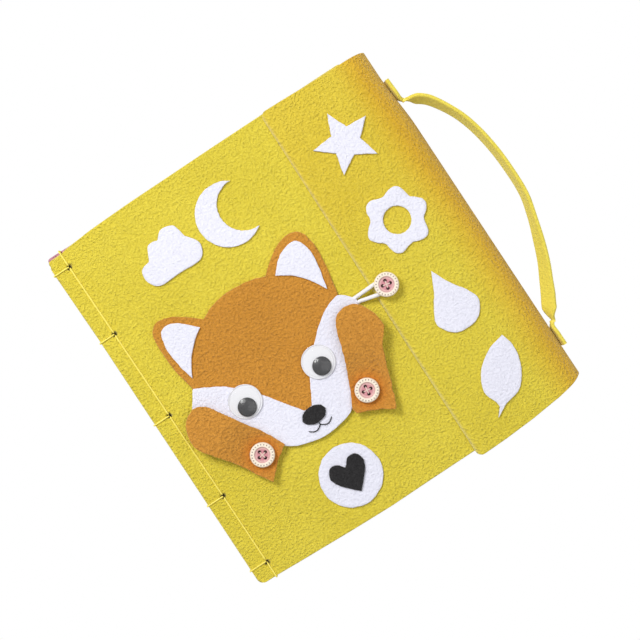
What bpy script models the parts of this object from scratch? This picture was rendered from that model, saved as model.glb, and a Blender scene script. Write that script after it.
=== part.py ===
"""Felt quiet book with a fox on its cover, a buttoned flap and a carrying strap.

The book lies on its back cover. X runs from the binding to the fore-edge, Y along the binding
to the head, and Z up. Places are book places: x from the binding edge, y from the tail edge,
z from the surface that the book lies on. The book empty moves them all so that the origin of
the part is the middle of the back cover's underside.
"""

import itertools
import math

import bmesh
import bpy
from mathutils import Vector

MM = 0.001

# Driving sizes of the book
BOOK_WIDTH = 228 * MM
BOOK_HEIGHT = 232 * MM
COVER_FELT = 2.4 * MM
LEAF_FELT = 2.4 * MM
TRIM_FELT = 1.2 * MM
LEAF_COUNT = 4
LEAF_PITCH = 4.9 * MM
GAP = 0.3 * MM
SPACER_FELT = LEAF_PITCH - LEAF_FELT - 2 * GAP

# Folds of the covers and leaves, counted from the binding edge
COVER_FOLD = 11.6 * MM
COVER_FOLD_RISE = 1.6 * MM
TOP_LEAF_FOLD = 19 * MM
LEAF_FOLD_STEP = 4.6 * MM
SPACER_SETBACK = 1.6 * MM
STACK_CLEARANCE = 1.4 * MM
LEAF_INSET = 2 * MM
CORNER_RADIUS = 4 * MM
OVERRUN = 1 * MM

COVER_BOTTOM = COVER_FELT + GAP + LEAF_COUNT * LEAF_PITCH
COVER_TOP = COVER_BOTTOM + COVER_FELT
FLAP_BOTTOM = COVER_TOP + GAP
FLAP_TOP = FLAP_BOTTOM + COVER_FELT
WRAP_RADIUS = FLAP_TOP / 2
WRAP_FOLD = BOOK_WIDTH - WRAP_RADIUS
STACK_END = WRAP_FOLD - STACK_CLEARANCE

# Heights of the felt layers above the front cover
FIRST_LAYER = GAP
SECOND_LAYER = FIRST_LAYER + TRIM_FELT + GAP
THIRD_LAYER = SECOND_LAYER + TRIM_FELT + GAP

ARC_STEPS = 5
SMOOTH_STEPS = 4
PAW_SMOOTH_STEPS = 3
CORD_SMOOTH_STEPS = 2
ROUND_SIDES = 36
ROD_SIDES = 8

for old in list(bpy.data.objects):
    bpy.data.objects.remove(old, do_unlink=True)

collection = bpy.data.collections.new("quiet_book")
bpy.context.scene.collection.children.link(collection)
places = {}


def material(name, colour, roughness=0.9, alpha=1.0):
    """A plain Principled material, made once for each name."""
    made = bpy.data.materials.get(name)
    if made:
        return made
    made = bpy.data.materials.new(name)
    made.use_nodes = True
    shader = made.node_tree.nodes["Principled BSDF"]
    shader.inputs["Base Color"].default_value = (*colour, 1)
    shader.inputs["Roughness"].default_value = roughness
    shader.inputs["Metallic"].default_value = 0
    shader.inputs["Alpha"].default_value = alpha
    return made


YELLOW = ("yellow_felt", (0.77, 0.62, 0.06))
ORANGE = ("orange_felt", (0.59, 0.25, 0.03))
WHITE = ("white_felt", (0.86, 0.85, 0.93))
BLACK = ("black_felt", (0.02, 0.02, 0.02))
PINK = ("pink_felt", (0.55, 0.24, 0.32))
BLUE = ("blue_felt", (0.20, 0.28, 0.42))
GREEN = ("green_felt", (0.22, 0.42, 0.20))
RED = ("red_felt", (0.55, 0.06, 0.05))
YELLOW_THREAD = ("yellow_thread", (0.85, 0.74, 0.30), 0.7)
WHITE_THREAD = ("white_thread", (0.85, 0.83, 0.80), 0.7)
BLACK_THREAD = ("black_thread", (0.02, 0.02, 0.02), 0.7)
ELASTIC = ("white_elastic", (0.88, 0.87, 0.90), 0.6)
BUTTON_PLASTIC = ("button_plastic", (0.85, 0.62, 0.52), 0.35)
EYE_WHITE = ("eye_white", (0.90, 0.90, 0.92), 0.3)
EYE_CLEAR = ("eye_clear", (0.95, 0.95, 0.97), 0.05, 0.3)
EYE_BLACK = ("eye_black", (0.01, 0.01, 0.01), 0.2)


def place_under(thing, parent, place):
    """Put a thing at a book place, under a parent that has a book place of its own."""
    thing.parent = parent
    thing.location = Vector(place) - Vector(places[parent.name]) if parent else Vector(place)


def empty(name, parent, place):
    """An empty that carries other things, with its book place written down."""
    made = bpy.data.objects.new(name, None)
    collection.objects.link(made)
    place_under(made, parent, place)
    places[name] = tuple(place)
    return made


def finish(thing, parent, place, finish_values):
    """Give an object its material and its place."""
    thing.data.materials.append(material(*finish_values))
    place_under(thing, parent, place)
    return thing


def arc(middle, radius, start, end, steps=ARC_STEPS):
    """Points of an arc about a middle, from a start to an end angle in degrees."""
    turns = [math.radians(start + (end - start) * i / steps) for i in range(steps + 1)]
    return [(middle[0] + radius * math.cos(t), middle[1] + radius * math.sin(t)) for t in turns]


def circle(radius, steps, middle=(0, 0)):
    """Points round a whole circle."""
    return arc(middle, radius, 0, 360, steps)[:-1]


def rectangle(width, height, left_radius=0, right_radius=0):
    """A rectangle from (0, 0), with the corners at either side rounded or left square."""
    points = []
    corners = [
        (right_radius, (width - right_radius, right_radius), -90),
        (right_radius, (width - right_radius, height - right_radius), 0),
        (left_radius, (left_radius, height - left_radius), 90),
        (left_radius, (left_radius, left_radius), 180),
    ]
    for radius, middle, start in corners:
        points += arc(middle, radius, start, start + 90) if radius else [middle]
    return points


def smooth(shares, width, height, steps=SMOOTH_STEPS):
    """A closed outline through shares of a width and height, as Catmull-Rom curves.

    A point is (x share, y share), or (x share, y share, 1) where the outline has a corner.
    """
    points = [Vector((s[0] * width, s[1] * height)) for s in shares]
    corner = [len(s) > 2 for s in shares]
    count = len(points)
    outline = []
    for i in range(count):
        a, b = points[i], points[(i + 1) % count]
        before, after = points[i - 1], points[(i + 2) % count]
        leave = (b - a) / 2 if corner[i] else (b - before) / 2
        arrive = (b - a) / 2 if corner[(i + 1) % count] else (after - a) / 2
        for k in range(steps):
            t = k / steps
            outline.append(
                (2 * t**3 - 3 * t**2 + 1) * a
                + (t**3 - 2 * t**2 + t) * leave
                + (3 * t**2 - 2 * t**3) * b
                + (t**3 - t**2) * arrive
            )
    return [(p.x, p.y) for p in outline]


def sheet(name, outlines, thickness, parent, place, finish_values):
    """A flat piece: its outline and any holes, as a filled curve with its thickness.

    The place is that of the outline's own (0, 0), at the underside of the piece.
    """
    curve = bpy.data.curves.new(name, "CURVE")
    curve.dimensions = "2D"
    curve.fill_mode = "BOTH"
    curve.extrude = thickness / 2
    for outline in outlines:
        spline = curve.splines.new("POLY")
        spline.points.add(len(outline) - 1)
        for point, (x, y) in zip(spline.points, outline):
            point.co = (x, y, 0, 1)
        spline.use_cyclic_u = True
    made = bpy.data.objects.new(name, curve)
    collection.objects.link(made)
    middle = (place[0], place[1], place[2] + thickness / 2)
    return finish(made, parent, middle, finish_values)


def as_mesh(thing):
    """Turn a curve or a modified object into a plain closed mesh in the same place."""
    bpy.context.view_layer.update()
    graph = bpy.context.evaluated_depsgraph_get()
    mesh = bpy.data.meshes.new_from_object(thing.evaluated_get(graph))
    shape = bmesh.new()
    shape.from_mesh(mesh)
    bmesh.ops.remove_doubles(shape, verts=shape.verts, dist=GAP / 100)
    bmesh.ops.recalc_face_normals(shape, faces=shape.faces)
    shape.to_mesh(mesh)
    shape.free()
    made = bpy.data.objects.new(thing.name, mesh)
    collection.objects.link(made)
    made.parent = thing.parent
    made.location = thing.location
    made.rotation_euler = thing.rotation_euler
    name = thing.name
    bpy.data.objects.remove(thing, do_unlink=True)
    made.name = name
    return made


def combine(base, others, operation):
    """Join other solids to a base, or cut them from it, and use the others up."""
    for other in others:
        bpy.context.view_layer.update()
        change = base.modifiers.new("combine", "BOOLEAN")
        change.operation = operation
        change.object = other
        change.solver = "EXACT"
        base = as_mesh(base)
        bpy.data.objects.remove(other, do_unlink=True)
    return base


def block(parent, low, high, finish_values=YELLOW_THREAD):
    """A square-edged block between two book places."""
    shape = bmesh.new()
    size = Vector(high) - Vector(low)
    bmesh.ops.create_cube(shape, size=1)
    bmesh.ops.scale(shape, vec=size, verts=shape.verts)
    mesh = bpy.data.meshes.new("block")
    shape.to_mesh(mesh)
    shape.free()
    made = bpy.data.objects.new("block", mesh)
    collection.objects.link(made)
    return finish(made, parent, (Vector(low) + Vector(high)) / 2, finish_values)


def rod(parent, radius, low, high, steps, finish_values):
    """An upright rod from one height to another above a book place."""
    shape = bmesh.new()
    bmesh.ops.create_cone(
        shape, cap_ends=True, segments=steps, radius1=radius, radius2=radius, depth=high[2] - low[2]
    )
    mesh = bpy.data.meshes.new("rod")
    shape.to_mesh(mesh)
    shape.free()
    made = bpy.data.objects.new("rod", mesh)
    collection.objects.link(made)
    middle = (low[0], low[1], (low[2] + high[2]) / 2)
    return finish(made, parent, middle, finish_values)


def turned(name, profile, steps, parent, place, finish_values):
    """A turned piece: a profile of (radius, height) from its top down its outer side."""
    mesh = bpy.data.meshes.new(name)
    points = [(radius, 0, height) for radius, height in profile]
    mesh.from_pydata(points, [(i, i + 1) for i in range(len(points) - 1)], [])
    made = bpy.data.objects.new(name, mesh)
    collection.objects.link(made)
    turn = made.modifiers.new("turn", "SCREW")
    turn.steps = steps
    turn.render_steps = steps
    turn.use_merge_vertices = True
    turn.merge_threshold = GAP / 100
    return finish(made, parent, place, finish_values)


def tube(name, points, radius, parent, place, finish_values):
    """A thread or cord along points, with filled caps."""
    curve = bpy.data.curves.new(name, "CURVE")
    curve.dimensions = "3D"
    curve.bevel_depth = radius
    curve.bevel_resolution = 2
    curve.use_fill_caps = True
    spline = curve.splines.new("POLY")
    spline.points.add(len(points) - 1)
    for point, place_on_it in zip(spline.points, points):
        point.co = (*place_on_it, 1)
    made = bpy.data.objects.new(name, curve)
    collection.objects.link(made)
    return finish(made, parent, place, finish_values)


def rings_to_mesh(name, rings, closed=False):
    """Skin equal rings of points into one solid, capped at its ends unless it closes."""
    shape = bmesh.new()
    rows = [[shape.verts.new(point) for point in ring] for ring in rings]
    count = len(rows[0])
    last = len(rows) if closed else len(rows) - 1
    for i in range(last):
        row, after = rows[i], rows[(i + 1) % len(rows)]
        for k in range(count):
            shape.faces.new([row[k], row[(k + 1) % count], after[(k + 1) % count], after[k]])
    if not closed:
        shape.faces.new(list(reversed(rows[0])))
        shape.faces.new(rows[-1])
    bmesh.ops.recalc_face_normals(shape, faces=shape.faces)
    mesh = bpy.data.meshes.new(name)
    shape.to_mesh(mesh)
    shape.free()
    made = bpy.data.objects.new(name, mesh)
    collection.objects.link(made)
    return made


def smooth_path(points, steps):
    """An open path through points, as Catmull-Rom curves."""
    points = [Vector(p) for p in points]
    ends = [2 * points[0] - points[1]] + points + [2 * points[-1] - points[-2]]
    path = []
    for i in range(1, len(ends) - 2):
        a, b, leave, arrive = ends[i], ends[i + 1], ends[i + 1] - ends[i - 1], ends[i + 2] - ends[i]
        for k in range(steps):
            t = k / steps
            path.append(
                (2 * t**3 - 3 * t**2 + 1) * a
                + (t**3 - 2 * t**2 + t) * leave / 2
                + (3 * t**2 - 2 * t**3) * b
                + (t**3 - t**2) * arrive / 2
            )
    return path + [points[-1]]


# The book itself and the empties on its fold lines

book = empty("book", None, (0, 0, 0))
book.location = (-BOOK_WIDTH / 2, -BOOK_HEIGHT / 2, 0)
cover_hinge = empty("front_cover_hinge", book, (COVER_FOLD, 0, COVER_TOP + COVER_FOLD_RISE))
wrap_hinge = empty("fore_edge_hinge", book, (WRAP_FOLD, 0, 0))
flap_hinge = empty("flap_hinge", wrap_hinge, (WRAP_FOLD, 0, FLAP_TOP))


# Stab binding: five holes near the binding edge and the thread through and round them

HOLE_LINE = 9.3 * MM
HOLE_RADIUS = 1.3 * MM
HOLE_SIDES = 10
HOLE_PLACE_SHARES = [0.0405, 0.2422, 0.4931, 0.7474, 0.9578]
HOLE_PLACES = [share * BOOK_HEIGHT for share in HOLE_PLACE_SHARES]
THREAD = 1.2 * MM
GROOVE_DEPTH = THREAD + GAP


def stab_holes():
    """Outlines of the five holes, in places of the book."""
    return [circle(HOLE_RADIUS, HOLE_SIDES, (HOLE_LINE, y)) for y in HOLE_PLACES]


def add_back_cover():
    """The back cover, with the holes and with grooves where the thread is pulled in below."""
    outline = rectangle(WRAP_FOLD - GAP, BOOK_HEIGHT, CORNER_RADIUS)
    holes = stab_holes()
    cover = sheet("back_cover", [outline] + holes, COVER_FELT, book, (0, 0, 0), YELLOW)
    half = THREAD / 2 + GAP
    grooves = [
        block(book, (-OVERRUN, y - half, -OVERRUN), (HOLE_LINE, y + half, GROOVE_DEPTH))
        for y in HOLE_PLACES
    ]
    long_low = (HOLE_LINE - half, -OVERRUN, -OVERRUN)
    long_high = (HOLE_LINE + half, BOOK_HEIGHT + OVERRUN, GROOVE_DEPTH)
    grooves.append(block(book, long_low, long_high))
    combine(as_mesh(cover), grooves, "DIFFERENCE")


def leaf_bottom(number):
    """Height of a leaf's underside, counting leaves from 1 at the back cover."""
    return COVER_FELT + GAP + (number - 1) * LEAF_PITCH


def leaf_fold(number):
    """Place of a leaf's fold; the lower leaves fold further from the binding."""
    return TOP_LEAF_FOLD + (LEAF_COUNT - number) * LEAF_FOLD_STEP


def add_leaf(number, colour):
    """A leaf, its sewn margin, and the spacer strip that fills the binding above it."""
    bottom = leaf_bottom(number)
    fold = leaf_fold(number)
    margin = rectangle(fold - GAP, BOOK_HEIGHT, CORNER_RADIUS)
    place = (0, 0, bottom)
    sheet(f"leaf_margin_{number}", [margin] + stab_holes(), LEAF_FELT, book, place, colour)
    spacer = rectangle(fold - SPACER_SETBACK, BOOK_HEIGHT, CORNER_RADIUS)
    place = (0, 0, bottom + LEAF_FELT + GAP)
    sheet(f"spacer_{number}", [spacer] + stab_holes(), SPACER_FELT, book, place, YELLOW)
    hinge = empty(f"leaf_{number}_hinge", book, (fold, 0, bottom + LEAF_FELT))
    page = rectangle(STACK_END - fold, BOOK_HEIGHT - 2 * LEAF_INSET, 0, CORNER_RADIUS)
    sheet(f"leaf_{number}", [page], LEAF_FELT, hinge, (fold, LEAF_INSET, bottom), colour)
    return hinge


PAGE_SHAPE_RADIUS = 26 * MM
PAGE_SHAPE_X = 100 * MM
PAGE_CIRCLE_SIDES = 32
PAGE_SQUARE_SIDES = 4
PAGE_TRIANGLE_SIDES = 3


def add_page_shape(name, sides, number, hinge, colour):
    """A simple felt shape sewn on a leaf."""
    outline = circle(PAGE_SHAPE_RADIUS, sides)
    place = (PAGE_SHAPE_X, BOOK_HEIGHT / 2, leaf_bottom(number) + LEAF_FELT + GAP)
    sheet(name, [outline], TRIM_FELT, hinge, place, colour)


def add_front_cover():
    """The front cover's sewn margin, and the panel that opens from it."""
    strip = rectangle(COVER_FOLD - GAP, BOOK_HEIGHT, CORNER_RADIUS)
    sheet(
        "front_cover_margin", [strip] + stab_holes(), COVER_FELT, book, (0, 0, COVER_BOTTOM), YELLOW
    )
    panel = rectangle(STACK_END - COVER_FOLD, BOOK_HEIGHT, 0, CORNER_RADIUS)
    place = (COVER_FOLD, 0, COVER_BOTTOM)
    sheet("front_cover", [panel], COVER_FELT, cover_hinge, place, YELLOW)


def solid_from_boxes(name, boxes):
    """One closed solid from overlapping upright boxes.

    Space is cut into cells at every side of every box. A face lies wherever a cell inside a
    box meets a cell outside them all.
    """
    cuts = [sorted({box[end][axis] for box in boxes for end in (0, 1)}) for axis in range(3)]

    def filled(cell):
        """Whether the middle of a cell lies inside a box."""
        if any(n < 0 or n >= len(cuts[axis]) - 1 for axis, n in enumerate(cell)):
            return False
        middle = [(cuts[axis][n] + cuts[axis][n + 1]) / 2 for axis, n in enumerate(cell)]
        return any(all(low[a] < middle[a] < high[a] for a in range(3)) for low, high in boxes)

    shape = bmesh.new()
    corners = {}

    def corner(key):
        """The vertex at a crossing of cuts, made once."""
        if key not in corners:
            corners[key] = shape.verts.new([cuts[axis][n] for axis, n in enumerate(key)])
        return corners[key]

    cells = itertools.product(*[range(len(row)) for row in cuts])
    for cell in filter(filled, cells):
        for axis in range(3):
            for side in (0, 1):
                beyond = list(cell)
                beyond[axis] += 1 if side else -1
                if filled(tuple(beyond)):
                    continue
                loop = []
                for u, v in ((0, 0), (1, 0), (1, 1), (0, 1)):
                    key = list(cell)
                    key[axis] += side
                    key[(axis + 1) % 3] += u
                    key[(axis + 2) % 3] += v
                    loop.append(corner(tuple(key)))
                shape.faces.new(loop if side else loop[::-1])
    mesh = bpy.data.meshes.new(name)
    shape.to_mesh(mesh)
    shape.free()
    made = bpy.data.objects.new(name, mesh)
    collection.objects.link(made)
    return made


def add_binding_thread():
    """The stab binding's thread as one solid: runs above and below, round the edges, and
    down through each hole."""
    top = COVER_TOP + GAP
    high = top + THREAD
    low = GROOVE_DEPTH - THREAD - GAP / 2
    outside = -GAP - THREAD
    half = THREAD / 2
    head = BOOK_HEIGHT + GAP
    west, east = HOLE_LINE - half, HOLE_LINE + half
    boxes = []
    for level in (top, low):
        over = level + THREAD
        boxes.append(((west, outside, level), (east, head + THREAD, over)))
        boxes += [((outside, y - half, level), (east, y + half, over)) for y in HOLE_PLACES]
    for y in HOLE_PLACES:
        boxes.append(((outside, y - half, low), (outside + THREAD, y + half, high)))
        boxes.append(((west, y - half, low), (east, y + half, high)))
    for y in (outside, head):
        boxes.append(((west, y, low), (east, y + THREAD, high)))
    finish(solid_from_boxes("binding_thread", boxes), book, (0, 0, 0), YELLOW_THREAD)


# Fore-edge wrap, flap and what is on them

FLAP_WIDTH = 78 * MM
FLAP_LEFT = BOOK_WIDTH - FLAP_WIDTH
FLAP_DROP = 3 * MM
WRAP_STEPS = 14


def add_fore_edge():
    """The half-round wrap that joins the back cover to the flap round the leaves' edges."""
    outer = arc((0, 0), WRAP_RADIUS, -90, 90, WRAP_STEPS)
    inner = arc((0, 0), WRAP_RADIUS - COVER_FELT, 90, -90, WRAP_STEPS)
    length = BOOK_HEIGHT + FLAP_DROP
    wrap = sheet("fore_edge", [outer + inner], length, wrap_hinge, (0, 0, 0), YELLOW)
    wrap.rotation_euler = (math.radians(90), 0, 0)
    middle = (WRAP_FOLD, BOOK_HEIGHT - length / 2, WRAP_RADIUS)
    place_under(wrap, wrap_hinge, middle)


def add_flap():
    """The flap that folds over the front cover from the top of the wrap."""
    length = BOOK_HEIGHT + FLAP_DROP
    outline = rectangle(WRAP_FOLD - GAP - FLAP_LEFT, length, CORNER_RADIUS)
    place = (FLAP_LEFT, -FLAP_DROP, FLAP_BOTTOM)
    sheet("flap", [outline], COVER_FELT, flap_hinge, place, YELLOW)


FLAP_SHAPE_RADIUS = 20.2 * MM
FLAP_SHAPE_X = BOOK_WIDTH - 40.5 * MM
FLAP_STAR_Y = 193 * MM
FLAP_FLOWER_Y = 137 * MM
FLAP_DROP_SHAPE_Y = 80.2 * MM
FLAP_LEAF_Y = 25 * MM
STAR_POINTS = 5
STAR_INNER_SHARE = 0.45
FLOWER_PETALS = 6
FLOWER_WAVE_SHARE = 0.1
FLOWER_STEPS = 60
FLOWER_HOLE_RADIUS = 8.5 * MM
DROP_SHARES = [
    (0, 1, 1), (0.28, 0.42), (0.62, -0.1), (0.72, -0.5), (0.42, -0.9),
    (0, -1), (-0.42, -0.9), (-0.72, -0.5), (-0.62, -0.1), (-0.28, 0.42),
]
LEAF_SHARES = [
    (0.72, 1, 1), (0.15, 0.85), (-0.42, 0.42), (-0.66, -0.15), (-0.5, -0.7), (-0.72, -1, 1),
    (-0.32, -0.78), (0.25, -0.62), (0.66, -0.1), (0.82, 0.5),
]


def star(radius):
    """A star's outline, with long and short points in turn."""
    points = []
    for i in range(2 * STAR_POINTS):
        reach = radius if i % 2 == 0 else radius * STAR_INNER_SHARE
        turn = math.pi / 2 + math.pi * i / STAR_POINTS
        points.append((reach * math.cos(turn), reach * math.sin(turn)))
    return points


def flower(radius):
    """A round flower whose edge waves in and out once for each petal."""
    points = []
    for i in range(FLOWER_STEPS):
        turn = 2 * math.pi * i / FLOWER_STEPS
        wave = FLOWER_WAVE_SHARE * (math.cos(FLOWER_PETALS * turn) - 1)
        points.append((radius * (1 + wave) * math.cos(turn), radius * (1 + wave) * math.sin(turn)))
    return points


def add_flap_shapes():
    """Four white felt shapes down the flap."""
    radius = FLAP_SHAPE_RADIUS
    hole = circle(FLOWER_HOLE_RADIUS, ROUND_SIDES)
    shapes = [
        ("flap_star", FLAP_STAR_Y, [star(radius)]),
        ("flap_flower", FLAP_FLOWER_Y, [flower(radius), hole]),
        ("flap_raindrop", FLAP_DROP_SHAPE_Y, [smooth(DROP_SHARES, radius, radius)]),
        ("flap_leaf", FLAP_LEAF_Y, [smooth(LEAF_SHARES, radius, radius)]),
    ]
    for name, y, outlines in shapes:
        place = (FLAP_SHAPE_X, y, FLAP_TOP + GAP)
        sheet(name, outlines, TRIM_FELT, flap_hinge, place, WHITE)


# Carrying strap: two sewn tabs and the free strap between them

STRAP_THICKNESS = 2.4 * MM
STRAP_WIDTH = 10 * MM
STRAP_TIP_WIDTH = 1.5 * MM
STRAP_TAPER = 9 * MM
STRAP_LEAN = 2.2 * MM
STRAP_REACH = 34 * MM
STRAP_TAIL_Y = 31 * MM
STRAP_HEAD_Y = 197.4 * MM
TAB_LENGTH = 15 * MM
TAB_STANDOFF = 6 * MM
TAB_STRAIGHT_SHARE = 0.6
TAB_TIP_SETBACK = 1.2 * MM
STRAP_PATH_SHARES = [
    (0.20, 0.992), (0.33, 0.977), (0.54, 0.937), (0.79, 0.847), (0.93, 0.757), (1.01, 0.65), (1.03, 0.54),
    (1.01, 0.463), (0.94, 0.40), (0.81, 0.3125), (0.66, 0.2224), (0.525, 0.146), (0.385, 0.072), (0.20, 0.038),
]
STRAP_STEPS = 5


def strap_solid(name, path, tapers, lean_out, parent, finish_values):
    """A flat strap on edge along a level path, narrowed to a tip at the ends that taper.

    Its upper edge lies further from the book than its lower one, by the length it leans out.
    """
    lengths = [0.0]
    for a, b in zip(path, path[1:]):
        lengths.append(lengths[-1] + (b - a).length)
    rings = []
    for i, middle in enumerate(path):
        ahead = path[min(i + 1, len(path) - 1)] - path[max(i - 1, 0)]
        side = Vector((-ahead.y, ahead.x, 0)).normalized() * STRAP_THICKNESS / 2
        to_tip = [lengths[i]] * tapers[0] + [lengths[-1] - lengths[i]] * tapers[1]
        share = min([1] + [t / STRAP_TAPER for t in to_tip])
        half = (STRAP_TIP_WIDTH + (STRAP_WIDTH - STRAP_TIP_WIDTH) * share) / 2
        lean = Vector((lean_out / 2 * share, 0, 0))
        up = Vector((0, 0, half))
        corners = [side + up + lean, side - up - lean, -side - up - lean, -side + up + lean]
        rings.append([middle + corner for corner in corners])
    made = rings_to_mesh(name, rings)
    return finish(made, parent, places[parent.name], finish_values)


def add_strap():
    """The strap's tabs on the wrap, and the strap that swings between them."""
    level = WRAP_RADIUS
    hinge_x = BOOK_WIDTH + TAB_STANDOFF
    span = STRAP_HEAD_Y - STRAP_TAIL_Y
    points = [
        Vector((BOOK_WIDTH + x * STRAP_REACH, STRAP_TAIL_Y + y * span, level))
        for x, y in STRAP_PATH_SHARES
    ]
    strap_hinge = empty("strap_hinge", wrap_hinge, (hinge_x, 0, level))
    path = smooth_path(points, STRAP_STEPS)
    offset = Vector(places["strap_hinge"])
    strap_solid("strap", [p - offset for p in path], (1, 1), STRAP_LEAN, strap_hinge, YELLOW)
    seat_x = BOOK_WIDTH + GAP + STRAP_THICKNESS / 2
    for name, end, away in (("strap_tab_head", points[0], 1), ("strap_tab_tail", points[-1], -1)):
        outer = end.y + away * (TAB_LENGTH + STRAP_THICKNESS)
        tip_x = end.x - TAB_TIP_SETBACK
        route = [
            Vector((seat_x, outer, level)),
            Vector((seat_x, outer - away * TAB_LENGTH * TAB_STRAIGHT_SHARE, level)),
            Vector((seat_x + (tip_x - seat_x) / 4, end.y + away * STRAP_THICKNESS, level)),
            Vector((tip_x, end.y, level)),
        ]
        base = Vector(places["fore_edge_hinge"])
        smooth_route = smooth_path([p - base for p in route], STRAP_STEPS)
        strap_solid(name, smooth_route, (0, 1), 0, wrap_hinge, YELLOW)


# The fox's face

HEAD_LEFT = 26 * MM
HEAD_BOTTOM = 58 * MM
HEAD_CLEAR_OF_FLAP = 12 * MM
HEAD_WIDTH = FLAP_LEFT - HEAD_CLEAR_OF_FLAP - HEAD_LEFT
HEAD_HEIGHT = 108 * MM
HEAD_SHARES = [
    (0.032, 0.574), (0.005, 0.722), (0, 0.87), (0.014, 0.95), (0.063, 0.993), (0.143, 0.976),
    (0.214, 0.926), (0.286, 0.866, 1), (0.375, 0.903), (0.5, 0.917), (0.607, 0.903),
    (0.688, 0.875, 1), (0.786, 0.954), (0.857, 0.991), (0.923, 1), (0.973, 0.972), (0.996, 0.907),
    (1, 0.815), (0.982, 0.685), (0.961, 0.574), (0.92, 0.407), (0.821, 0.222), (0.688, 0.074),
    (0.5, 0), (0.304, 0.074), (0.17, 0.222), (0.071, 0.407),
]
LEFT_EAR_PLACE_SHARES = (0.0321, 0.6241)
LEFT_EAR_SIZE_SHARES = (0.2143, 0.3241)
RIGHT_EAR_PLACE_SHARES = (0.7357, 0.6259)
RIGHT_EAR_SIZE_SHARES = (0.2286, 0.3259)
LEFT_EYE_SHARES = (0.2304, 0.3556)
RIGHT_EYE_SHARES = (0.6732, 0.3167)
NOSE_SHARES = (0.4982, 0.0852)
LEFT_BUTTON_SHARES = (0.1536, 0.0593)
RIGHT_BUTTON_SHARES = (0.8071, 0.0389)


def on_head(shares):
    """A place on the head, from shares of its width and height."""
    return (HEAD_LEFT + shares[0] * HEAD_WIDTH, HEAD_BOTTOM + shares[1] * HEAD_HEIGHT)


LEFT_EAR_PLACE = on_head(LEFT_EAR_PLACE_SHARES)
LEFT_EAR_SIZE = (LEFT_EAR_SIZE_SHARES[0] * HEAD_WIDTH, LEFT_EAR_SIZE_SHARES[1] * HEAD_HEIGHT)
LEFT_EAR_SHARES = [
    (0.142, 0, 1), (0.042, 0.303), (0, 0.617), (0.05, 0.846), (0.142, 0.96), (0.308, 1),
    (0.533, 0.954), (0.767, 0.817), (0.992, 0.657, 1), (0.683, 0.503), (0.392, 0.286),
]
RIGHT_EAR_PLACE = on_head(RIGHT_EAR_PLACE_SHARES)
RIGHT_EAR_SIZE = (RIGHT_EAR_SIZE_SHARES[0] * HEAD_WIDTH, RIGHT_EAR_SIZE_SHARES[1] * HEAD_HEIGHT)
RIGHT_EAR_SHARES = [
    (0, 0.676, 1), (0.219, 0.852), (0.414, 0.949), (0.668, 1), (0.844, 0.977), (0.961, 0.835),
    (1, 0.636), (0.945, 0.324), (0.836, 0, 1), (0.609, 0.284), (0.336, 0.506),
]

CHEEK_OVERHANG = 3.2 * MM
CHIN_OVERHANG = 5.2 * MM
MUZZLE_HEIGHT_SHARE = 0.6222
MUZZLE_PLACE = (HEAD_LEFT - CHEEK_OVERHANG, HEAD_BOTTOM - CHIN_OVERHANG)
MUZZLE_SIZE = (HEAD_WIDTH + 2 * CHEEK_OVERHANG, MUZZLE_HEIGHT_SHARE * HEAD_HEIGHT)
MUZZLE_SHARES = [
    (0.057, 1, 1), (0.127, 0.938), (0.211, 0.842), (0.329, 0.628), (0.405, 0.442),
    (0.47, 0.29, 1), (0.515, 0.29, 1), (0.583, 0.509), (0.625, 0.625), (0.701, 0.747),
    (0.769, 0.857), (0.845, 0.946), (0.929, 0.991, 1), (0.963, 0.946), (0.993, 0.881),
    (1, 0.844, 1), (0.929, 0.643), (0.828, 0.375), (0.726, 0.167), (0.672, 0.068),
    (0.6, 0.021), (0.498, 0), (0.397, 0.033), (0.296, 0.113), (0.194, 0.315), (0.101, 0.583),
    (0.042, 0.747), (0, 0.851, 1),
]

NOSE_MIDDLE = on_head(NOSE_SHARES)
NOSE_WIDTH = 15.6 * MM
NOSE_HEIGHT = 10.4 * MM
MOUTH_THREAD = 0.7 * MM
MOUTH_CLEARANCE = 0.8 * MM
MOUTH_TOP = NOSE_MIDDLE[1] - NOSE_HEIGHT / 2 - MOUTH_CLEARANCE
MOUTH_WIDTH = 16.2 * MM
MOUTH_DEPTH = 2.2 * MM
MOUTH_STEPS = 16


def cover_sheet(name, shares, size, place, layer, finish_values):
    """A felt shape on the front cover, from shares of its width and height."""
    at = (place[0], place[1], COVER_TOP + layer)
    outline = smooth(shares, size[0], size[1])
    return sheet(name, [outline], TRIM_FELT, cover_hinge, at, finish_values)


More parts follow.
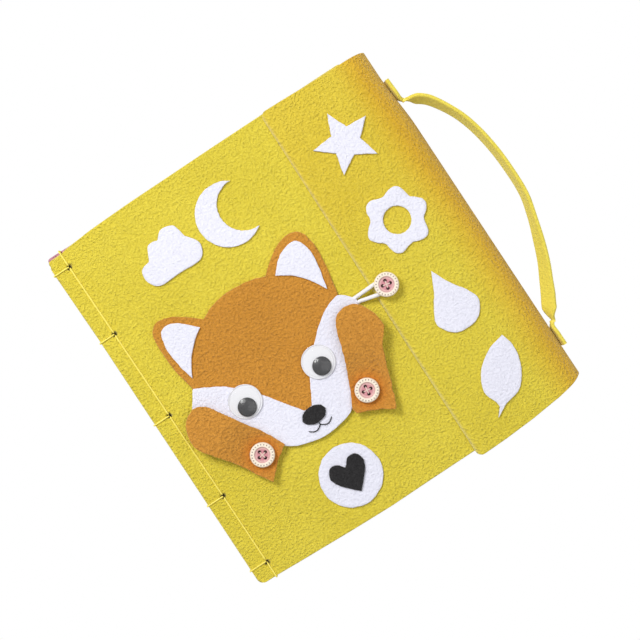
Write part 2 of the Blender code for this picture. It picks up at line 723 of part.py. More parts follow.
def add_face():
    """Head, inner ears, muzzle, nose and the stitched mouth."""
    head_size = (HEAD_WIDTH, HEAD_HEIGHT)
    head_place = (HEAD_LEFT, HEAD_BOTTOM)
    cover_sheet("fox_head", HEAD_SHARES, head_size, head_place, FIRST_LAYER, ORANGE)
    ears = [
        ("left_inner_ear", LEFT_EAR_SHARES, LEFT_EAR_SIZE, LEFT_EAR_PLACE),
        ("right_inner_ear", RIGHT_EAR_SHARES, RIGHT_EAR_SIZE, RIGHT_EAR_PLACE),
    ]
    for name, shares, size, place in ears:
        cover_sheet(name, shares, size, place, SECOND_LAYER, WHITE)
    cover_sheet("muzzle", MUZZLE_SHARES, MUZZLE_SIZE, MUZZLE_PLACE, SECOND_LAYER, WHITE)
    oval = [(x * NOSE_WIDTH / 2, y * NOSE_HEIGHT / 2) for x, y in circle(1, ROUND_SIDES)]
    nose_place = (*NOSE_MIDDLE, COVER_TOP + THIRD_LAYER)
    sheet("nose", [oval], TRIM_FELT, cover_hinge, nose_place, BLACK)
    path = []
    for i in range(2 * MOUTH_STEPS + 1):
        x = (i / MOUTH_STEPS - 1) * MOUTH_WIDTH / 2
        path.append((x, -MOUTH_DEPTH * abs(math.sin(math.pi * i / MOUTH_STEPS)), 0))
    level = COVER_TOP + THIRD_LAYER + MOUTH_THREAD / 2
    place = (NOSE_MIDDLE[0], MOUTH_TOP, level)
    tube("mouth_thread", path, MOUTH_THREAD / 2, cover_hinge, place, BLACK_THREAD)


# Wobbly eyes: a white backing, a loose black disc and a clear dome

EYE_RADIUS = 10.4 * MM
EYE_BACK = 0.8 * MM
EYE_DOME_HEIGHT = 3.5 * MM
EYE_WALL = 0.5 * MM
EYE_FLANGE = 0.9 * MM
PUPIL_RADIUS = 5.75 * MM
PUPIL_HEIGHT = 0.9 * MM
DOME_STEPS = 8
DOME_SWELL_SHARE = 0.5
EYES = [
    ("left", on_head(LEFT_EYE_SHARES), (-0.7 * MM, -3.4 * MM)),
    ("right", on_head(RIGHT_EYE_SHARES), (0.4 * MM, -3.2 * MM)),
]


def dome_profile():
    """The dome's profile, down its outer side to its foot and back up inside."""
    outer_radius = EYE_RADIUS
    inner_radius = EYE_RADIUS - EYE_FLANGE
    tops = [(outer_radius, EYE_DOME_HEIGHT), (inner_radius, EYE_DOME_HEIGHT - EYE_WALL)]
    rows = []
    for radius, height in tops:
        quarter = [math.radians(90 - 90 * i / DOME_STEPS) for i in range(DOME_STEPS + 1)]
        rows.append([(radius * math.cos(q), height * math.sin(q) ** DOME_SWELL_SHARE) for q in quarter])
    rows[0][0] = (0, EYE_DOME_HEIGHT)
    rows[1][0] = (0, EYE_DOME_HEIGHT - EYE_WALL)
    return rows[0] + rows[1][::-1]


def add_eye(side, middle, lean):
    """One eye, with its black disc off its middle as it lies in the dome."""
    level = COVER_TOP + THIRD_LAYER
    back = circle(EYE_RADIUS, ROUND_SIDES)
    sheet(f"{side}_eye_back", [back], EYE_BACK, cover_hinge, (*middle, level), EYE_WHITE)
    dome_level = level + EYE_BACK + GAP
    seat = (*middle, dome_level)
    turned(f"{side}_eye_dome", dome_profile(), ROUND_SIDES, cover_hinge, seat, EYE_CLEAR)
    pupil_hinge = empty(f"{side}_pupil_hinge", cover_hinge, seat)
    at = (middle[0] + lean[0], middle[1] + lean[1], dome_level)
    disc = circle(PUPIL_RADIUS, ROUND_SIDES)
    sheet(f"{side}_pupil", [disc], PUPIL_HEIGHT, pupil_hinge, at, EYE_BLACK)


# Buttons and the paws that turn under two of them

BUTTON_RADIUS = 7.5 * MM
BUTTON_THICKNESS = 3 * MM
BUTTON_RECESS = 0.8 * MM
BUTTON_RECESS_RADIUS = 4.6 * MM
BUTTON_EDGE = 0.9 * MM
BUTTON_HOLE = 0.7 * MM
BUTTON_HOLE_CIRCLE = 2.3 * MM
BUTTON_HOLE_SIDES = 10
BUTTON_THREAD = 0.35 * MM
BUTTON_HOLE_TURN = 60
LEFT_BUTTON = on_head(LEFT_BUTTON_SHARES)
RIGHT_BUTTON = on_head(RIGHT_BUTTON_SHARES)
FLAP_BUTTON_INSET = 10.6 * MM
FLAP_BUTTON = (FLAP_LEFT + FLAP_BUTTON_INSET, 108.4 * MM)
ELASTIC_THICKNESS = 2.5 * MM

PAW_LENGTH = 50 * MM
PAW_HOLE = 3.4 * MM
PAW_RING_SHARES = [0, 0.1, 0.22, 0.36, 0.5, 0.68, 1]
PAW_FLAT_RADIUS = 9 * MM
PAW_RISE_RADIUS = 22 * MM
PAW_ROOT = THIRD_LAYER
PAW_RAISED = THIRD_LAYER + EYE_BACK + GAP + EYE_DOME_HEIGHT + GAP
LEFT_PAW_SHARES = [
    (-0.424, 0.9), (-0.304, 0.892), (-0.204, 0.802), (-0.124, 0.672), (0.016, 0.452),
    (0.156, 0.222), (0.296, -0.048, 1), (0.126, -0.158), (-0.072, -0.348, 1),
    (-0.204, -0.128), (-0.354, 0.122), (-0.514, 0.342), (-0.604, 0.492), (-0.608, 0.652),
    (-0.544, 0.812),
]
RIGHT_PAW_SHARES = [
    (-0.268, -0.094, 1), (-0.138, 0.176), (-0.038, 0.416), (0.032, 0.616), (0.082, 0.786),
    (0.162, 0.916), (0.262, 0.972), (0.382, 0.964), (0.502, 0.876), (0.572, 0.726),
    (0.592, 0.556), (0.542, 0.466), (0.452, 0.346), (0.382, 0.176), (0.302, -0.044),
    (0.232, -0.244), (0.172, -0.374, 1), (0.032, -0.292), (-0.128, -0.212), (-0.256, -0.164, 1),
]


def paw_height(radius):
    """Height of a paw's underside above the cover: it rises away from its button, so that
    the paw passes over the eye."""
    share = (radius - PAW_FLAT_RADIUS) / (PAW_RISE_RADIUS - PAW_FLAT_RADIUS)
    share = min(max(share, 0), 1)
    return PAW_ROOT + (PAW_RAISED - PAW_ROOT) * share * share * (3 - 2 * share)


def add_paw(side, button, shares):
    """A felt paw with a hole under its button, as rings of points from the hole outwards."""
    hinge = empty(f"{side}_paw_hinge", cover_hinge, (*button, COVER_TOP))
    outline = smooth(shares, PAW_LENGTH, PAW_LENGTH, PAW_SMOOTH_STEPS)
    rings = []
    for x, y in outline:
        reach = math.hypot(x, y)
        ways = [PAW_HOLE + (reach - PAW_HOLE) * share for share in PAW_RING_SHARES]
        under = [Vector((x * w / reach, y * w / reach, paw_height(w))) for w in ways]
        over = [point + Vector((0, 0, TRIM_FELT)) for point in reversed(under)]
        rings.append(under + over)
    paw = rings_to_mesh(f"{side}_paw", rings, closed=True)
    finish(paw, hinge, places[hinge.name], ORANGE)


def add_button(name, parent, middle, bottom, seat):
    """A four-hole button, and its thread from the seat up through the holes."""
    inner = BUTTON_RECESS_RADIUS
    top = BUTTON_THICKNESS
    profile = [
        (0, top - BUTTON_RECESS),
        (inner, top - BUTTON_RECESS),
        (inner + BUTTON_RECESS, top),
        (BUTTON_RADIUS - BUTTON_EDGE, top),
        (BUTTON_RADIUS, top - BUTTON_EDGE),
        (BUTTON_RADIUS, BUTTON_EDGE),
        (BUTTON_RADIUS - BUTTON_EDGE, 0),
        (0, 0),
    ]
    place = (*middle, bottom)
    button = as_mesh(turned(name, profile, ROUND_SIDES, parent, place, BUTTON_PLASTIC))
    turns = [math.radians(BUTTON_HOLE_TURN + 90 * i) for i in range(4)]
    holes = [
        (
            middle[0] + BUTTON_HOLE_CIRCLE * math.cos(turn),
            middle[1] + BUTTON_HOLE_CIRCLE * math.sin(turn),
        )
        for turn in turns
    ]
    cutters = [
        rod(
            parent, BUTTON_HOLE, (*hole, bottom - OVERRUN), (*hole, bottom + top + OVERRUN),
            BUTTON_HOLE_SIDES, BUTTON_PLASTIC,
        )
        for hole in holes
    ]
    combine(button, cutters, "DIFFERENCE")
    crossing = bottom + top - BUTTON_RECESS + GAP
    over = crossing + 2 * BUTTON_THREAD
    pieces = [
        rod(parent, BUTTON_THREAD, (*hole, seat), (*hole, over), ROD_SIDES, WHITE_THREAD)
        for hole in holes
    ]
    reach = BUTTON_HOLE_CIRCLE + BUTTON_THREAD / 2
    for turn in (BUTTON_HOLE_TURN, BUTTON_HOLE_TURN + 90):
        bar = block(
            parent,
            (middle[0] - reach, middle[1] - BUTTON_THREAD / 2, crossing + BUTTON_THREAD / 2),
            (middle[0] + reach, middle[1] + BUTTON_THREAD / 2, over - BUTTON_THREAD / 2),
            WHITE_THREAD,
        )
        bar.rotation_euler = (0, 0, math.radians(turn))
        pieces.append(bar)
    thread = pieces[4]
    thread.name = f"{name}_thread"
    combine(thread, [pieces[5]] + pieces[:4], "UNION")


# Elastic loop that holds the flap shut

LOOP_ROOT_X = FLAP_LEFT - 7.8 * MM
LOOP_LEG_SPREAD = 3.4 * MM
LOOP_ROOT_MIDDLE_Y = 110.4 * MM
LOOP_ROOT_HEIGHT = GAP + ELASTIC_THICKNESS / 2
LOOP_FLAP_HEIGHT = GAP + COVER_FELT + GAP + ELASTIC_THICKNESS / 2
LOOP_BEND_RADIUS = BUTTON_HOLE_CIRCLE + BUTTON_THREAD + GAP + ELASTIC_THICKNESS / 2
LOOP_LEG_SHARES = [(0, 0), (0.2, 0.45), (0.45, 0.95), (0.72, 1)]
LOOP_BEND_STEPS = 10


def add_loop():
    """The elastic: two legs from the cheek over the flap's edge, and a bend round the shank of
    the flap's button."""
    hinge = empty("loop_hinge", cover_hinge, (LOOP_ROOT_X, LOOP_ROOT_MIDDLE_Y, COVER_TOP + LOOP_ROOT_HEIGHT))
    run = FLAP_BUTTON[0] - LOOP_ROOT_X
    shift = FLAP_BUTTON[1] - LOOP_ROOT_MIDDLE_Y
    climb = LOOP_FLAP_HEIGHT - LOOP_ROOT_HEIGHT
    half = LOOP_LEG_SPREAD / 2
    legs = []
    for side in (1, -1):
        leg = []
        for along, rise in LOOP_LEG_SHARES:
            spread = half + (LOOP_BEND_RADIUS - half) * along
            leg.append(Vector((along * run, side * spread + shift * along, climb * rise)))
        legs.append(leg)
    bend = [
        Vector((x, y, climb))
        for x, y in arc((run, shift), LOOP_BEND_RADIUS, 90, -90, LOOP_BEND_STEPS)
    ]
    path = smooth_path(legs[0] + bend + legs[1][::-1], CORD_SMOOTH_STEPS)
    tube("elastic_loop", path, ELASTIC_THICKNESS / 2, hinge, places["loop_hinge"], ELASTIC)


# Badge and shapes on the front cover

BADGE_PLACE_SHARE = 0.5347
BADGE_MIDDLE = (BADGE_PLACE_SHARE * FLAP_LEFT, 24.6 * MM)
BADGE_RADIUS = 19.4 * MM
HEART_SIZE = (23 * MM, 22 * MM)
HEART_SHARES = [
    (0, -0.5, 1), (0.26, -0.24), (0.46, 0.04), (0.5, 0.26), (0.38, 0.46), (0.18, 0.46),
    (0, 0.26, 1), (-0.18, 0.46), (-0.38, 0.46), (-0.5, 0.26), (-0.46, 0.04), (-0.26, -0.24),
]
CLOUD_PLACE_SHARE = 0.4133
CLOUD_WIDTH_SHARE = 0.26
CLOUD_MIDDLE = (CLOUD_PLACE_SHARE * FLAP_LEFT, 196 * MM)
CLOUD_SIZE = (CLOUD_WIDTH_SHARE * FLAP_LEFT, 34 * MM)
CLOUD_SHARES = [
    (-0.36, -0.4), (0, -0.4), (0.36, -0.4), (0.5, -0.16), (0.36, 0.1, 1), (0.3, 0.36),
    (0.1, 0.42), (-0.02, 0.3, 1), (-0.2, 0.3), (-0.32, 0.06, 1), (-0.48, 0.0), (-0.5, -0.24),
]
MOON_PLACE_SHARE = 0.7
MOON_RADIUS_SHARE = 0.1333
MOON_CUT_RADIUS_SHARE = 0.8
MOON_CUT_SHIFT_SHARE = 0.55
MOON_MIDDLE = (MOON_PLACE_SHARE * FLAP_LEFT, 196 * MM)
MOON_RADIUS = MOON_RADIUS_SHARE * FLAP_LEFT
MOON_CUT_RADIUS = MOON_CUT_RADIUS_SHARE * MOON_RADIUS
MOON_CUT_SHIFT = MOON_CUT_SHIFT_SHARE * MOON_RADIUS
MOON_STEPS = 28


def moon():
    """A crescent: a circle's arc, and the arc of a smaller circle that bites into it."""
    near = MOON_CUT_SHIFT
    cross_x = (near**2 + MOON_RADIUS**2 - MOON_CUT_RADIUS**2) / (2 * near)
    outer = math.degrees(math.acos(cross_x / MOON_RADIUS))
    inner = math.degrees(math.acos((cross_x - near) / MOON_CUT_RADIUS))
    back = arc((0, 0), MOON_RADIUS, outer, 360 - outer, MOON_STEPS)
    bite = arc((near, 0), MOON_CUT_RADIUS, 360 - inner, inner, MOON_STEPS)
    return back + bite[1:-1]


def add_cover_shapes():
    """The badge with its heart, and a cloud and a moon above the fox."""
    badge_place = (*BADGE_MIDDLE, COVER_TOP + FIRST_LAYER)
    sheet("badge", [circle(BADGE_RADIUS, ROUND_SIDES)], TRIM_FELT, cover_hinge, badge_place, WHITE)
    heart_place = (*BADGE_MIDDLE, COVER_TOP + SECOND_LAYER)
    sheet(
        "badge_heart", [smooth(HEART_SHARES, *HEART_SIZE)], TRIM_FELT, cover_hinge, heart_place, BLACK
    )
    cloud_place = (*CLOUD_MIDDLE, COVER_TOP + FIRST_LAYER)
    sheet(
        "cover_cloud", [smooth(CLOUD_SHARES, *CLOUD_SIZE)], TRIM_FELT, cover_hinge, cloud_place, WHITE
    )
    moon_place = (*MOON_MIDDLE, COVER_TOP + FIRST_LAYER)
    sheet("cover_moon", [moon()], TRIM_FELT, cover_hinge, moon_place, WHITE)


def build():
    """The whole book, from the back cover up."""
    add_back_cover()
    leaf_colours = [GREEN, RED, BLUE, PINK]
    hinges = [add_leaf(i + 1, leaf_colours[i]) for i in range(LEAF_COUNT)]
    add_page_shape("page_triangle", PAGE_TRIANGLE_SIDES, 2, hinges[1], YELLOW)
    add_page_shape("page_square", PAGE_SQUARE_SIDES, 3, hinges[2], WHITE)
    add_page_shape("page_circle", PAGE_CIRCLE_SIDES, 4, hinges[3], ORANGE)
    add_front_cover()
    add_binding_thread()
    add_fore_edge()
    add_flap()
    add_flap_shapes()
    add_strap()
    add_face()
    for side, middle, lean in EYES:
        add_eye(side, middle, lean)
    add_paw("left", LEFT_BUTTON, LEFT_PAW_SHARES)
    add_paw("right", RIGHT_BUTTON, RIGHT_PAW_SHARES)
    on_paw = COVER_TOP + PAW_ROOT + TRIM_FELT + GAP
    on_cover = COVER_TOP + GAP
    add_button("left_paw_button", cover_hinge, LEFT_BUTTON, on_paw, on_cover)
    add_button("right_paw_button", cover_hinge, RIGHT_BUTTON, on_paw, on_cover)
    over_loop = FLAP_TOP + GAP + ELASTIC_THICKNESS + GAP
    add_button("flap_button", flap_hinge, FLAP_BUTTON, over_loop, FLAP_TOP + GAP)
    add_loop()
    add_cover_shapes()


build()
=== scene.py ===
"""A felt quiet book: how it looks. The book lies closed on its back, seen from straight above.

Places are given in the book: x from the binding edge, y from the tail edge and z up from the
table, all in millimetres. The function world turns them into metres about the book's middle.
"""

import math

import bpy
import numpy as np
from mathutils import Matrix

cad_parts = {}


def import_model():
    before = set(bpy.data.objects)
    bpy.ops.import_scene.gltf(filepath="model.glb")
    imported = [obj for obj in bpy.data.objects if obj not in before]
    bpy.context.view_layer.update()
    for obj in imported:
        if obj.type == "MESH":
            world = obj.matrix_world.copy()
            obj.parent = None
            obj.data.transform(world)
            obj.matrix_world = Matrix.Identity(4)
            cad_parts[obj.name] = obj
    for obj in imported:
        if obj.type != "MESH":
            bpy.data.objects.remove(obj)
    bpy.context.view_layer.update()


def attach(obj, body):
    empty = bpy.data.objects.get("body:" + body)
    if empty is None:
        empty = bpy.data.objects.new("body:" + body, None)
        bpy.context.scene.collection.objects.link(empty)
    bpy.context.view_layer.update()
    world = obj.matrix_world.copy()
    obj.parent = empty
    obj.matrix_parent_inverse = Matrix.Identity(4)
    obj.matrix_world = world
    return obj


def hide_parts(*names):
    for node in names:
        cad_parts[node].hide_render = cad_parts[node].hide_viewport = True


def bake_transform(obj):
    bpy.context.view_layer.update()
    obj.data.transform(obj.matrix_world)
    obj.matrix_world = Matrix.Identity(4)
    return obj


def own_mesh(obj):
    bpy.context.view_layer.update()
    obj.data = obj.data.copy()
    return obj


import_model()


# The camera looks straight down, turned so that the book lies askew in the picture. The key
# lamp hangs beyond the head and a softer one above the tail. Floor and air look plain white.

BOOK_MIDDLE = np.array((114.0, 116.0, 0.0))
MM = 0.001


def world(points):
    """Places in the book as metres in the frame."""
    return (np.asarray(points, float) - BOOK_MIDDLE) * MM


VIEW_MIDDLE = (116.0, 112.5, 26.0)
VIEW_TURN = math.radians(-33.44)
VIEW_DISTANCE = 0.7
VIEW_WIDTH = 0.384
SENSOR = 36

camera_data = bpy.data.cameras.new("camera")
camera_data.sensor_width = SENSOR
camera_data.lens = SENSOR * VIEW_DISTANCE / VIEW_WIDTH
camera = bpy.data.objects.new("camera", camera_data)
camera.location = world(VIEW_MIDDLE) + (0, 0, VIEW_DISTANCE)
camera.rotation_euler = (0, 0, VIEW_TURN)
bpy.context.scene.collection.objects.link(camera)
bpy.context.scene.camera = camera
bpy.context.scene.view_settings.view_transform = "Standard"

# name, direction towards the lamp, distance, width, power
LAMPS = [
    ("key_lamp", (-0.30, 1.0, 1.25), 1.3, 0.45, 12.2),
    ("fill_lamp", (0.5, -0.4, 1.6), 1.5, 1.2, 5.8),
]
for name, way, distance, width, power in LAMPS:
    lamp_data = bpy.data.lights.new(name, "AREA")
    lamp_data.size = width
    lamp_data.energy = power
    lamp = bpy.data.objects.new(name, lamp_data)
    toward = np.array(way) / np.linalg.norm(way)
    lamp.location = toward * distance
    lamp.rotation_euler = (
        math.atan2(math.hypot(toward[0], toward[1]), toward[2]),
        0,
        math.atan2(toward[1], toward[0]) + math.pi / 2,
    )
    bpy.context.scene.collection.objects.link(lamp)


def white_to_camera(tree, lit, glow_type, output):
    """Lets the camera see plain white where other rays meet the lit shader."""
    kinds = (glow_type, "ShaderNodeLightPath", "ShaderNodeMixShader")
    glow, path, mix = (tree.nodes.new(kind) for kind in kinds)
    glow.inputs["Color"].default_value = (1, 1, 1, 1)
    tree.links.new(path.outputs["Is Camera Ray"], mix.inputs[0])
    tree.links.new(lit.outputs[0], mix.inputs[1])
    tree.links.new(glow.outputs[0], mix.inputs[2])
    tree.links.new(mix.outputs[0], tree.nodes[output].inputs["Surface"])


AIR_STRENGTH = 0.39
air = bpy.data.worlds.new("air")
air.use_nodes = True
air_light = air.node_tree.nodes["Background"]
air_light.inputs["Color"].default_value = (1, 1, 1, 1)
air_light.inputs["Strength"].default_value = AIR_STRENGTH
white_to_camera(air.node_tree, air_light, "ShaderNodeBackground", "World Output")
bpy.context.scene.world = air


def painted(name, colour, roughness=0.6):
    """A material with a plain colour and roughness, and its node tree."""
    made = bpy.data.materials.new(name)
    made.use_nodes = True
    shader = made.node_tree.nodes["Principled BSDF"]
    shader.inputs["Base Color"].default_value = (*colour, 1)
    shader.inputs["Roughness"].default_value = roughness
    return made, made.node_tree, shader


FLOOR_REACH = 6.0
floor_mesh = bpy.data.meshes.new("floor")
FLOOR_LEVEL = -0.0002
floor_corners = [
    (x * FLOOR_REACH, y * FLOOR_REACH, FLOOR_LEVEL) for x, y in ((-1, -1), (1, -1), (1, 1), (-1, 1))
]
floor_mesh.from_pydata(floor_corners, [], [(0, 1, 2, 3)])
floor = bpy.data.objects.new("floor", floor_mesh)
bpy.context.scene.collection.objects.link(floor)
floor_paint, floor_tree, floor_shader = painted("floor_white", (0.9, 0.9, 0.9), 0.9)
white_to_camera(floor_tree, floor_shader, "ShaderNodeEmission", "Material Output")
floor_mesh.materials.append(floor_paint)


# Back cover and the lower half of the wrap: one sheet of yellow felt, sewn through at the
# binding, lying on the table and folded up round the fore-edge.

BOOK_HEIGHT = 232.0
COVER_FELT = 2.4
STACK_TOP = 24.7
WRAP_FOLD = 214.3
WRAP_RADIUS = 12.5
WRAP_MIDDLE = 13.7
FLAP_DROP = 3.0
RIM = 0.35
RIM_INSETS = (1.0, 0.6, 0.0)
RIM_LEVELS = (1.0, 0.86, 0.45)
FORE_EDGE_BULGE = 2.2


def lumps(x, y, seed, wavelength, count=20):
    """Soft waves, mostly from -1 to 1: the sum of cosines of about one wavelength that run in
    seeded directions over x and y."""
    rng = np.random.default_rng(seed)
    turn = rng.uniform(0, 2 * np.pi, count)
    pitch = 2 * np.pi / (wavelength * rng.uniform(0.7, 1.5, count))
    phase = rng.uniform(0, 2 * np.pi, count)
    way = np.multiply.outer(x, np.cos(turn) * pitch) + np.multiply.outer(y, np.sin(turn) * pitch)
    return np.cos(way + phase).sum(-1) / math.sqrt(2 * count)


def askew(places):
    """The two long edges as the photograph has them. The sewn one lies 1.7 mm further out and
    2.6 mm at the head, where the holes follow it and the shift fades to none 25 mm from it.
    The fold, with the strap's end, lies 2.2 mm further in at the head."""
    x, y = places[:, 0], places[:, 1]
    sewn = 2.6 * np.clip(y / 232, 0, 1) ** 1.5
    shift = sewn * np.clip(1 - x / 25, 0, 1) + np.clip(1.7 - sewn, 0, 2) * np.clip(1 - x / 9, 0, 1)
    head = np.clip((y - 178) / 40, 0, 1)
    at_fold = np.clip((x - 196) / 30, 0, 1) * (1 - np.clip((x - 236) / 12, 0, 1))
    shift += 2.2 * head * head * (3 - 2 * head) * at_fold
    places[:, 0] -= shift
    return places


def skin(name, parts, material, body=None, joined=False, **values):
    """A closed surface through rings of points, or several of them as one piece.

    Each part is an array of rings, each a closed line of points. Neighbouring rings are
    joined by quads. The first and last rings are closed by quads across them, or joined to
    each other. Values are arrays of one number for each point, kept as attributes.
    """
    points, faces = [], []
    first = 0
    for rings in parts:
        count, around = rings.shape[:2]
        row = np.arange(count if joined else count - 1)[:, None]
        column = np.arange(around)[None, :]
        after = (column + 1) % around
        below = (row + 1) % count
        quads = np.stack(
            np.broadcast_arrays(
                row * around + column, row * around + after, below * around + after, below * around + column
            ),
            axis=-1,
        ).reshape(-1, 4)
        made = [quads]
        if not joined:
            half = np.arange(around // 2 - 1)
            cap = np.stack([half, around - 1 - half, around - 2 - half, half + 1], axis=-1)
            made += [cap, cap[:, ::-1] + (count - 1) * around]
        quads = np.concatenate(made)
        flat = rings.reshape(-1, 3)
        a, b, c, d = (flat[quads[:, k]] for k in range(4))
        volume = (a * np.cross(b, c)).sum() + (a * np.cross(c, d)).sum()
        if volume < 0:
            quads = quads[:, ::-1]
        faces.append(quads + first)
        points.append(flat)
        first += len(flat)
    points, faces = world(askew(np.concatenate(points))), np.concatenate(faces)
    mesh = bpy.data.meshes.new(name)
    mesh.vertices.add(len(points))
    mesh.vertices.foreach_set("co", points.ravel())
    mesh.loops.add(faces.size)
    mesh.loops.foreach_set("vertex_index", faces.ravel())
    mesh.polygons.add(len(faces))
    mesh.polygons.foreach_set("loop_start", np.arange(0, faces.size, 4))
    mesh.update(calc_edges=True)
    for key, numbers in values.items():
        layer = mesh.attributes.new(key, "FLOAT", "POINT")
        layer.data.foreach_set("value", np.ravel(numbers).astype(np.float32))
    mesh.validate()
    mesh.shade_smooth()
    mesh.set_sharp_from_angle(angle=math.radians(50))
    mesh.materials.append(material)
    made = bpy.data.objects.new(name, mesh)
    bpy.context.scene.collection.objects.link(made)
    if body:
        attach(made, body)
    return made


def tinted(tree, shade, attribute, tint, way="MIX"):
    """A shade, which is a colour or a node's output, tinted by the value of an attribute."""
    value = tree.nodes.new("ShaderNodeAttribute")
    value.attribute_name = attribute
    mix = tree.nodes.new("ShaderNodeMix")
    mix.data_type = "RGBA"
    mix.blend_type = way
    mix.inputs[7].default_value = (*tint, 1)
    tree.links.new(value.outputs["Fac"], mix.inputs[0])
    if isinstance(shade, tuple):
        mix.inputs[6].default_value = (*shade, 1)
    else:
        tree.links.new(shade, mix.inputs[6])
    return mix.outputs[2]


def felt(name, colour, dark, pale, grain=1.0, rim=0.04):
    """Pressed wool felt: fibres in lumps of about 1.5 mm, finer hairs, and slow blotches.

    The colour runs from the dark to the pale share of it. Points with the attribute edge are
    paler by the share rim, a painted highlight where a cut edge catches the light. Points
    marked for painted shade are darker and more orange, and points marked in stab holes are
    painted nearly black, as the shade down in them.
    """
    made, tree, shader = painted(name, colour, 0.95)
    shader.inputs["Sheen Weight"].default_value = 0.25
    shader.inputs["Sheen Roughness"].default_value = 0.5
    shader.inputs["Specular IOR Level"].default_value = 0.15
    place = tree.nodes.new("ShaderNodeTexCoord")
    mixed = None
    height = None
    # features per metre, detail, distortion, share of the colour, share of the relief
    layers = [
        (680.0, 2.0, 0.0, 0.42, 1.0), (1700.0, 3.0, 0.3, 0.44, 0.25), (28.0, 1.0, 0.0, 0.14, 0.0),
    ]
    for scale, detail, distortion, colour_share, relief_share in layers:
        noise = tree.nodes.new("ShaderNodeTexNoise")
        noise.inputs["Scale"].default_value = scale
        noise.inputs["Detail"].default_value = detail
        noise.inputs["Distortion"].default_value = distortion
        tree.links.new(place.outputs["Object"], noise.inputs["Vector"])
        sums = []
        for share, before in ((colour_share, mixed), (relief_share, height)):
            add = tree.nodes.new("ShaderNodeMath")
            add.operation = "MULTIPLY_ADD"
            add.inputs[1].default_value = share
            add.inputs[2].default_value = 0.0
            tree.links.new(noise.outputs["Fac"], add.inputs[0])
            if before:
                tree.links.new(before.outputs[0], add.inputs[2])
            sums.append(add)
        mixed, height = sums
    ramp = tree.nodes.new("ShaderNodeValToRGB")
    ramp.color_ramp.elements[0].position = 0.36
    ramp.color_ramp.elements[1].position = 0.64
    ramp.color_ramp.elements[0].color = (*[c * s for c, s in zip(colour, dark)], 1)
    ramp.color_ramp.elements[1].color = (*[min(c * s, 1) for c, s in zip(colour, pale)], 1)
    tree.links.new(mixed.outputs[0], ramp.inputs["Fac"])
    shade = ramp.outputs["Color"]
    # The cut edge is painted paler, a painted highlight where it catches the light.
    edge_highlight_colour = [c + (0.9 - c) * rim for c in colour]
    # Tints: paler cut edges as a painted highlight, an orange-brown painted shade where points are marked for
    # it, and near-black painted shade in the stab holes.
    tints = [
        ("edge", edge_highlight_colour, "MIX"), ("warm", (0.95, 0.69, 0.5), "MULTIPLY"),
        ("pit", (0.03, 0.015, 0.006), "MIX"),
    ]
    for attribute, tint, way in tints:
        shade = tinted(tree, shade, attribute, tint, way)
    tree.links.new(shade, shader.inputs["Base Color"])
    bump = tree.nodes.new("ShaderNodeBump")
    bump.inputs["Strength"].default_value = 1.0
    bump.inputs["Distance"].default_value = 0.0019 * grain
    tree.links.new(height.outputs[0], bump.inputs["Height"])
    tree.links.new(bump.outputs["Normal"], shader.inputs["Normal"])
    return made


YELLOW_FELT = felt("yellow_felt", (0.765, 0.63, 0.052), (0.88, 0.84, 0.66), (1.1, 1.11, 1.4), 1.0, 0.32)

HOLE_LINE = 9.3
HOLE_PLACES = [9.4, 56.2, 114.4, 173.4, 222.2]


def spread(stops, step, fine_places=(), fine_reach=2.0, fine_step=0.4):
    """Places from the first to the last stop at about one step, and closer near fine places."""
    count = max(2, round((stops[-1] - stops[0]) / step) + 1)
    places = [np.linspace(stops[0], stops[-1], count)]
    for middle in fine_places:
        places.append(np.arange(middle - fine_reach, middle + fine_reach + fine_step / 2, fine_step))
    merged = np.unique(np.round(np.concatenate(places), 3))
    merged = merged[(merged >= stops[0]) & (merged <= stops[-1])]
    keep = np.concatenate([[True], np.diff(merged) > fine_step * 0.6])
    return merged[keep]


def run_along(line):
    """How far along a flat line each of its points lies."""
    return np.concatenate([[0], np.hypot(*np.diff(line, axis=0).T).cumsum()])


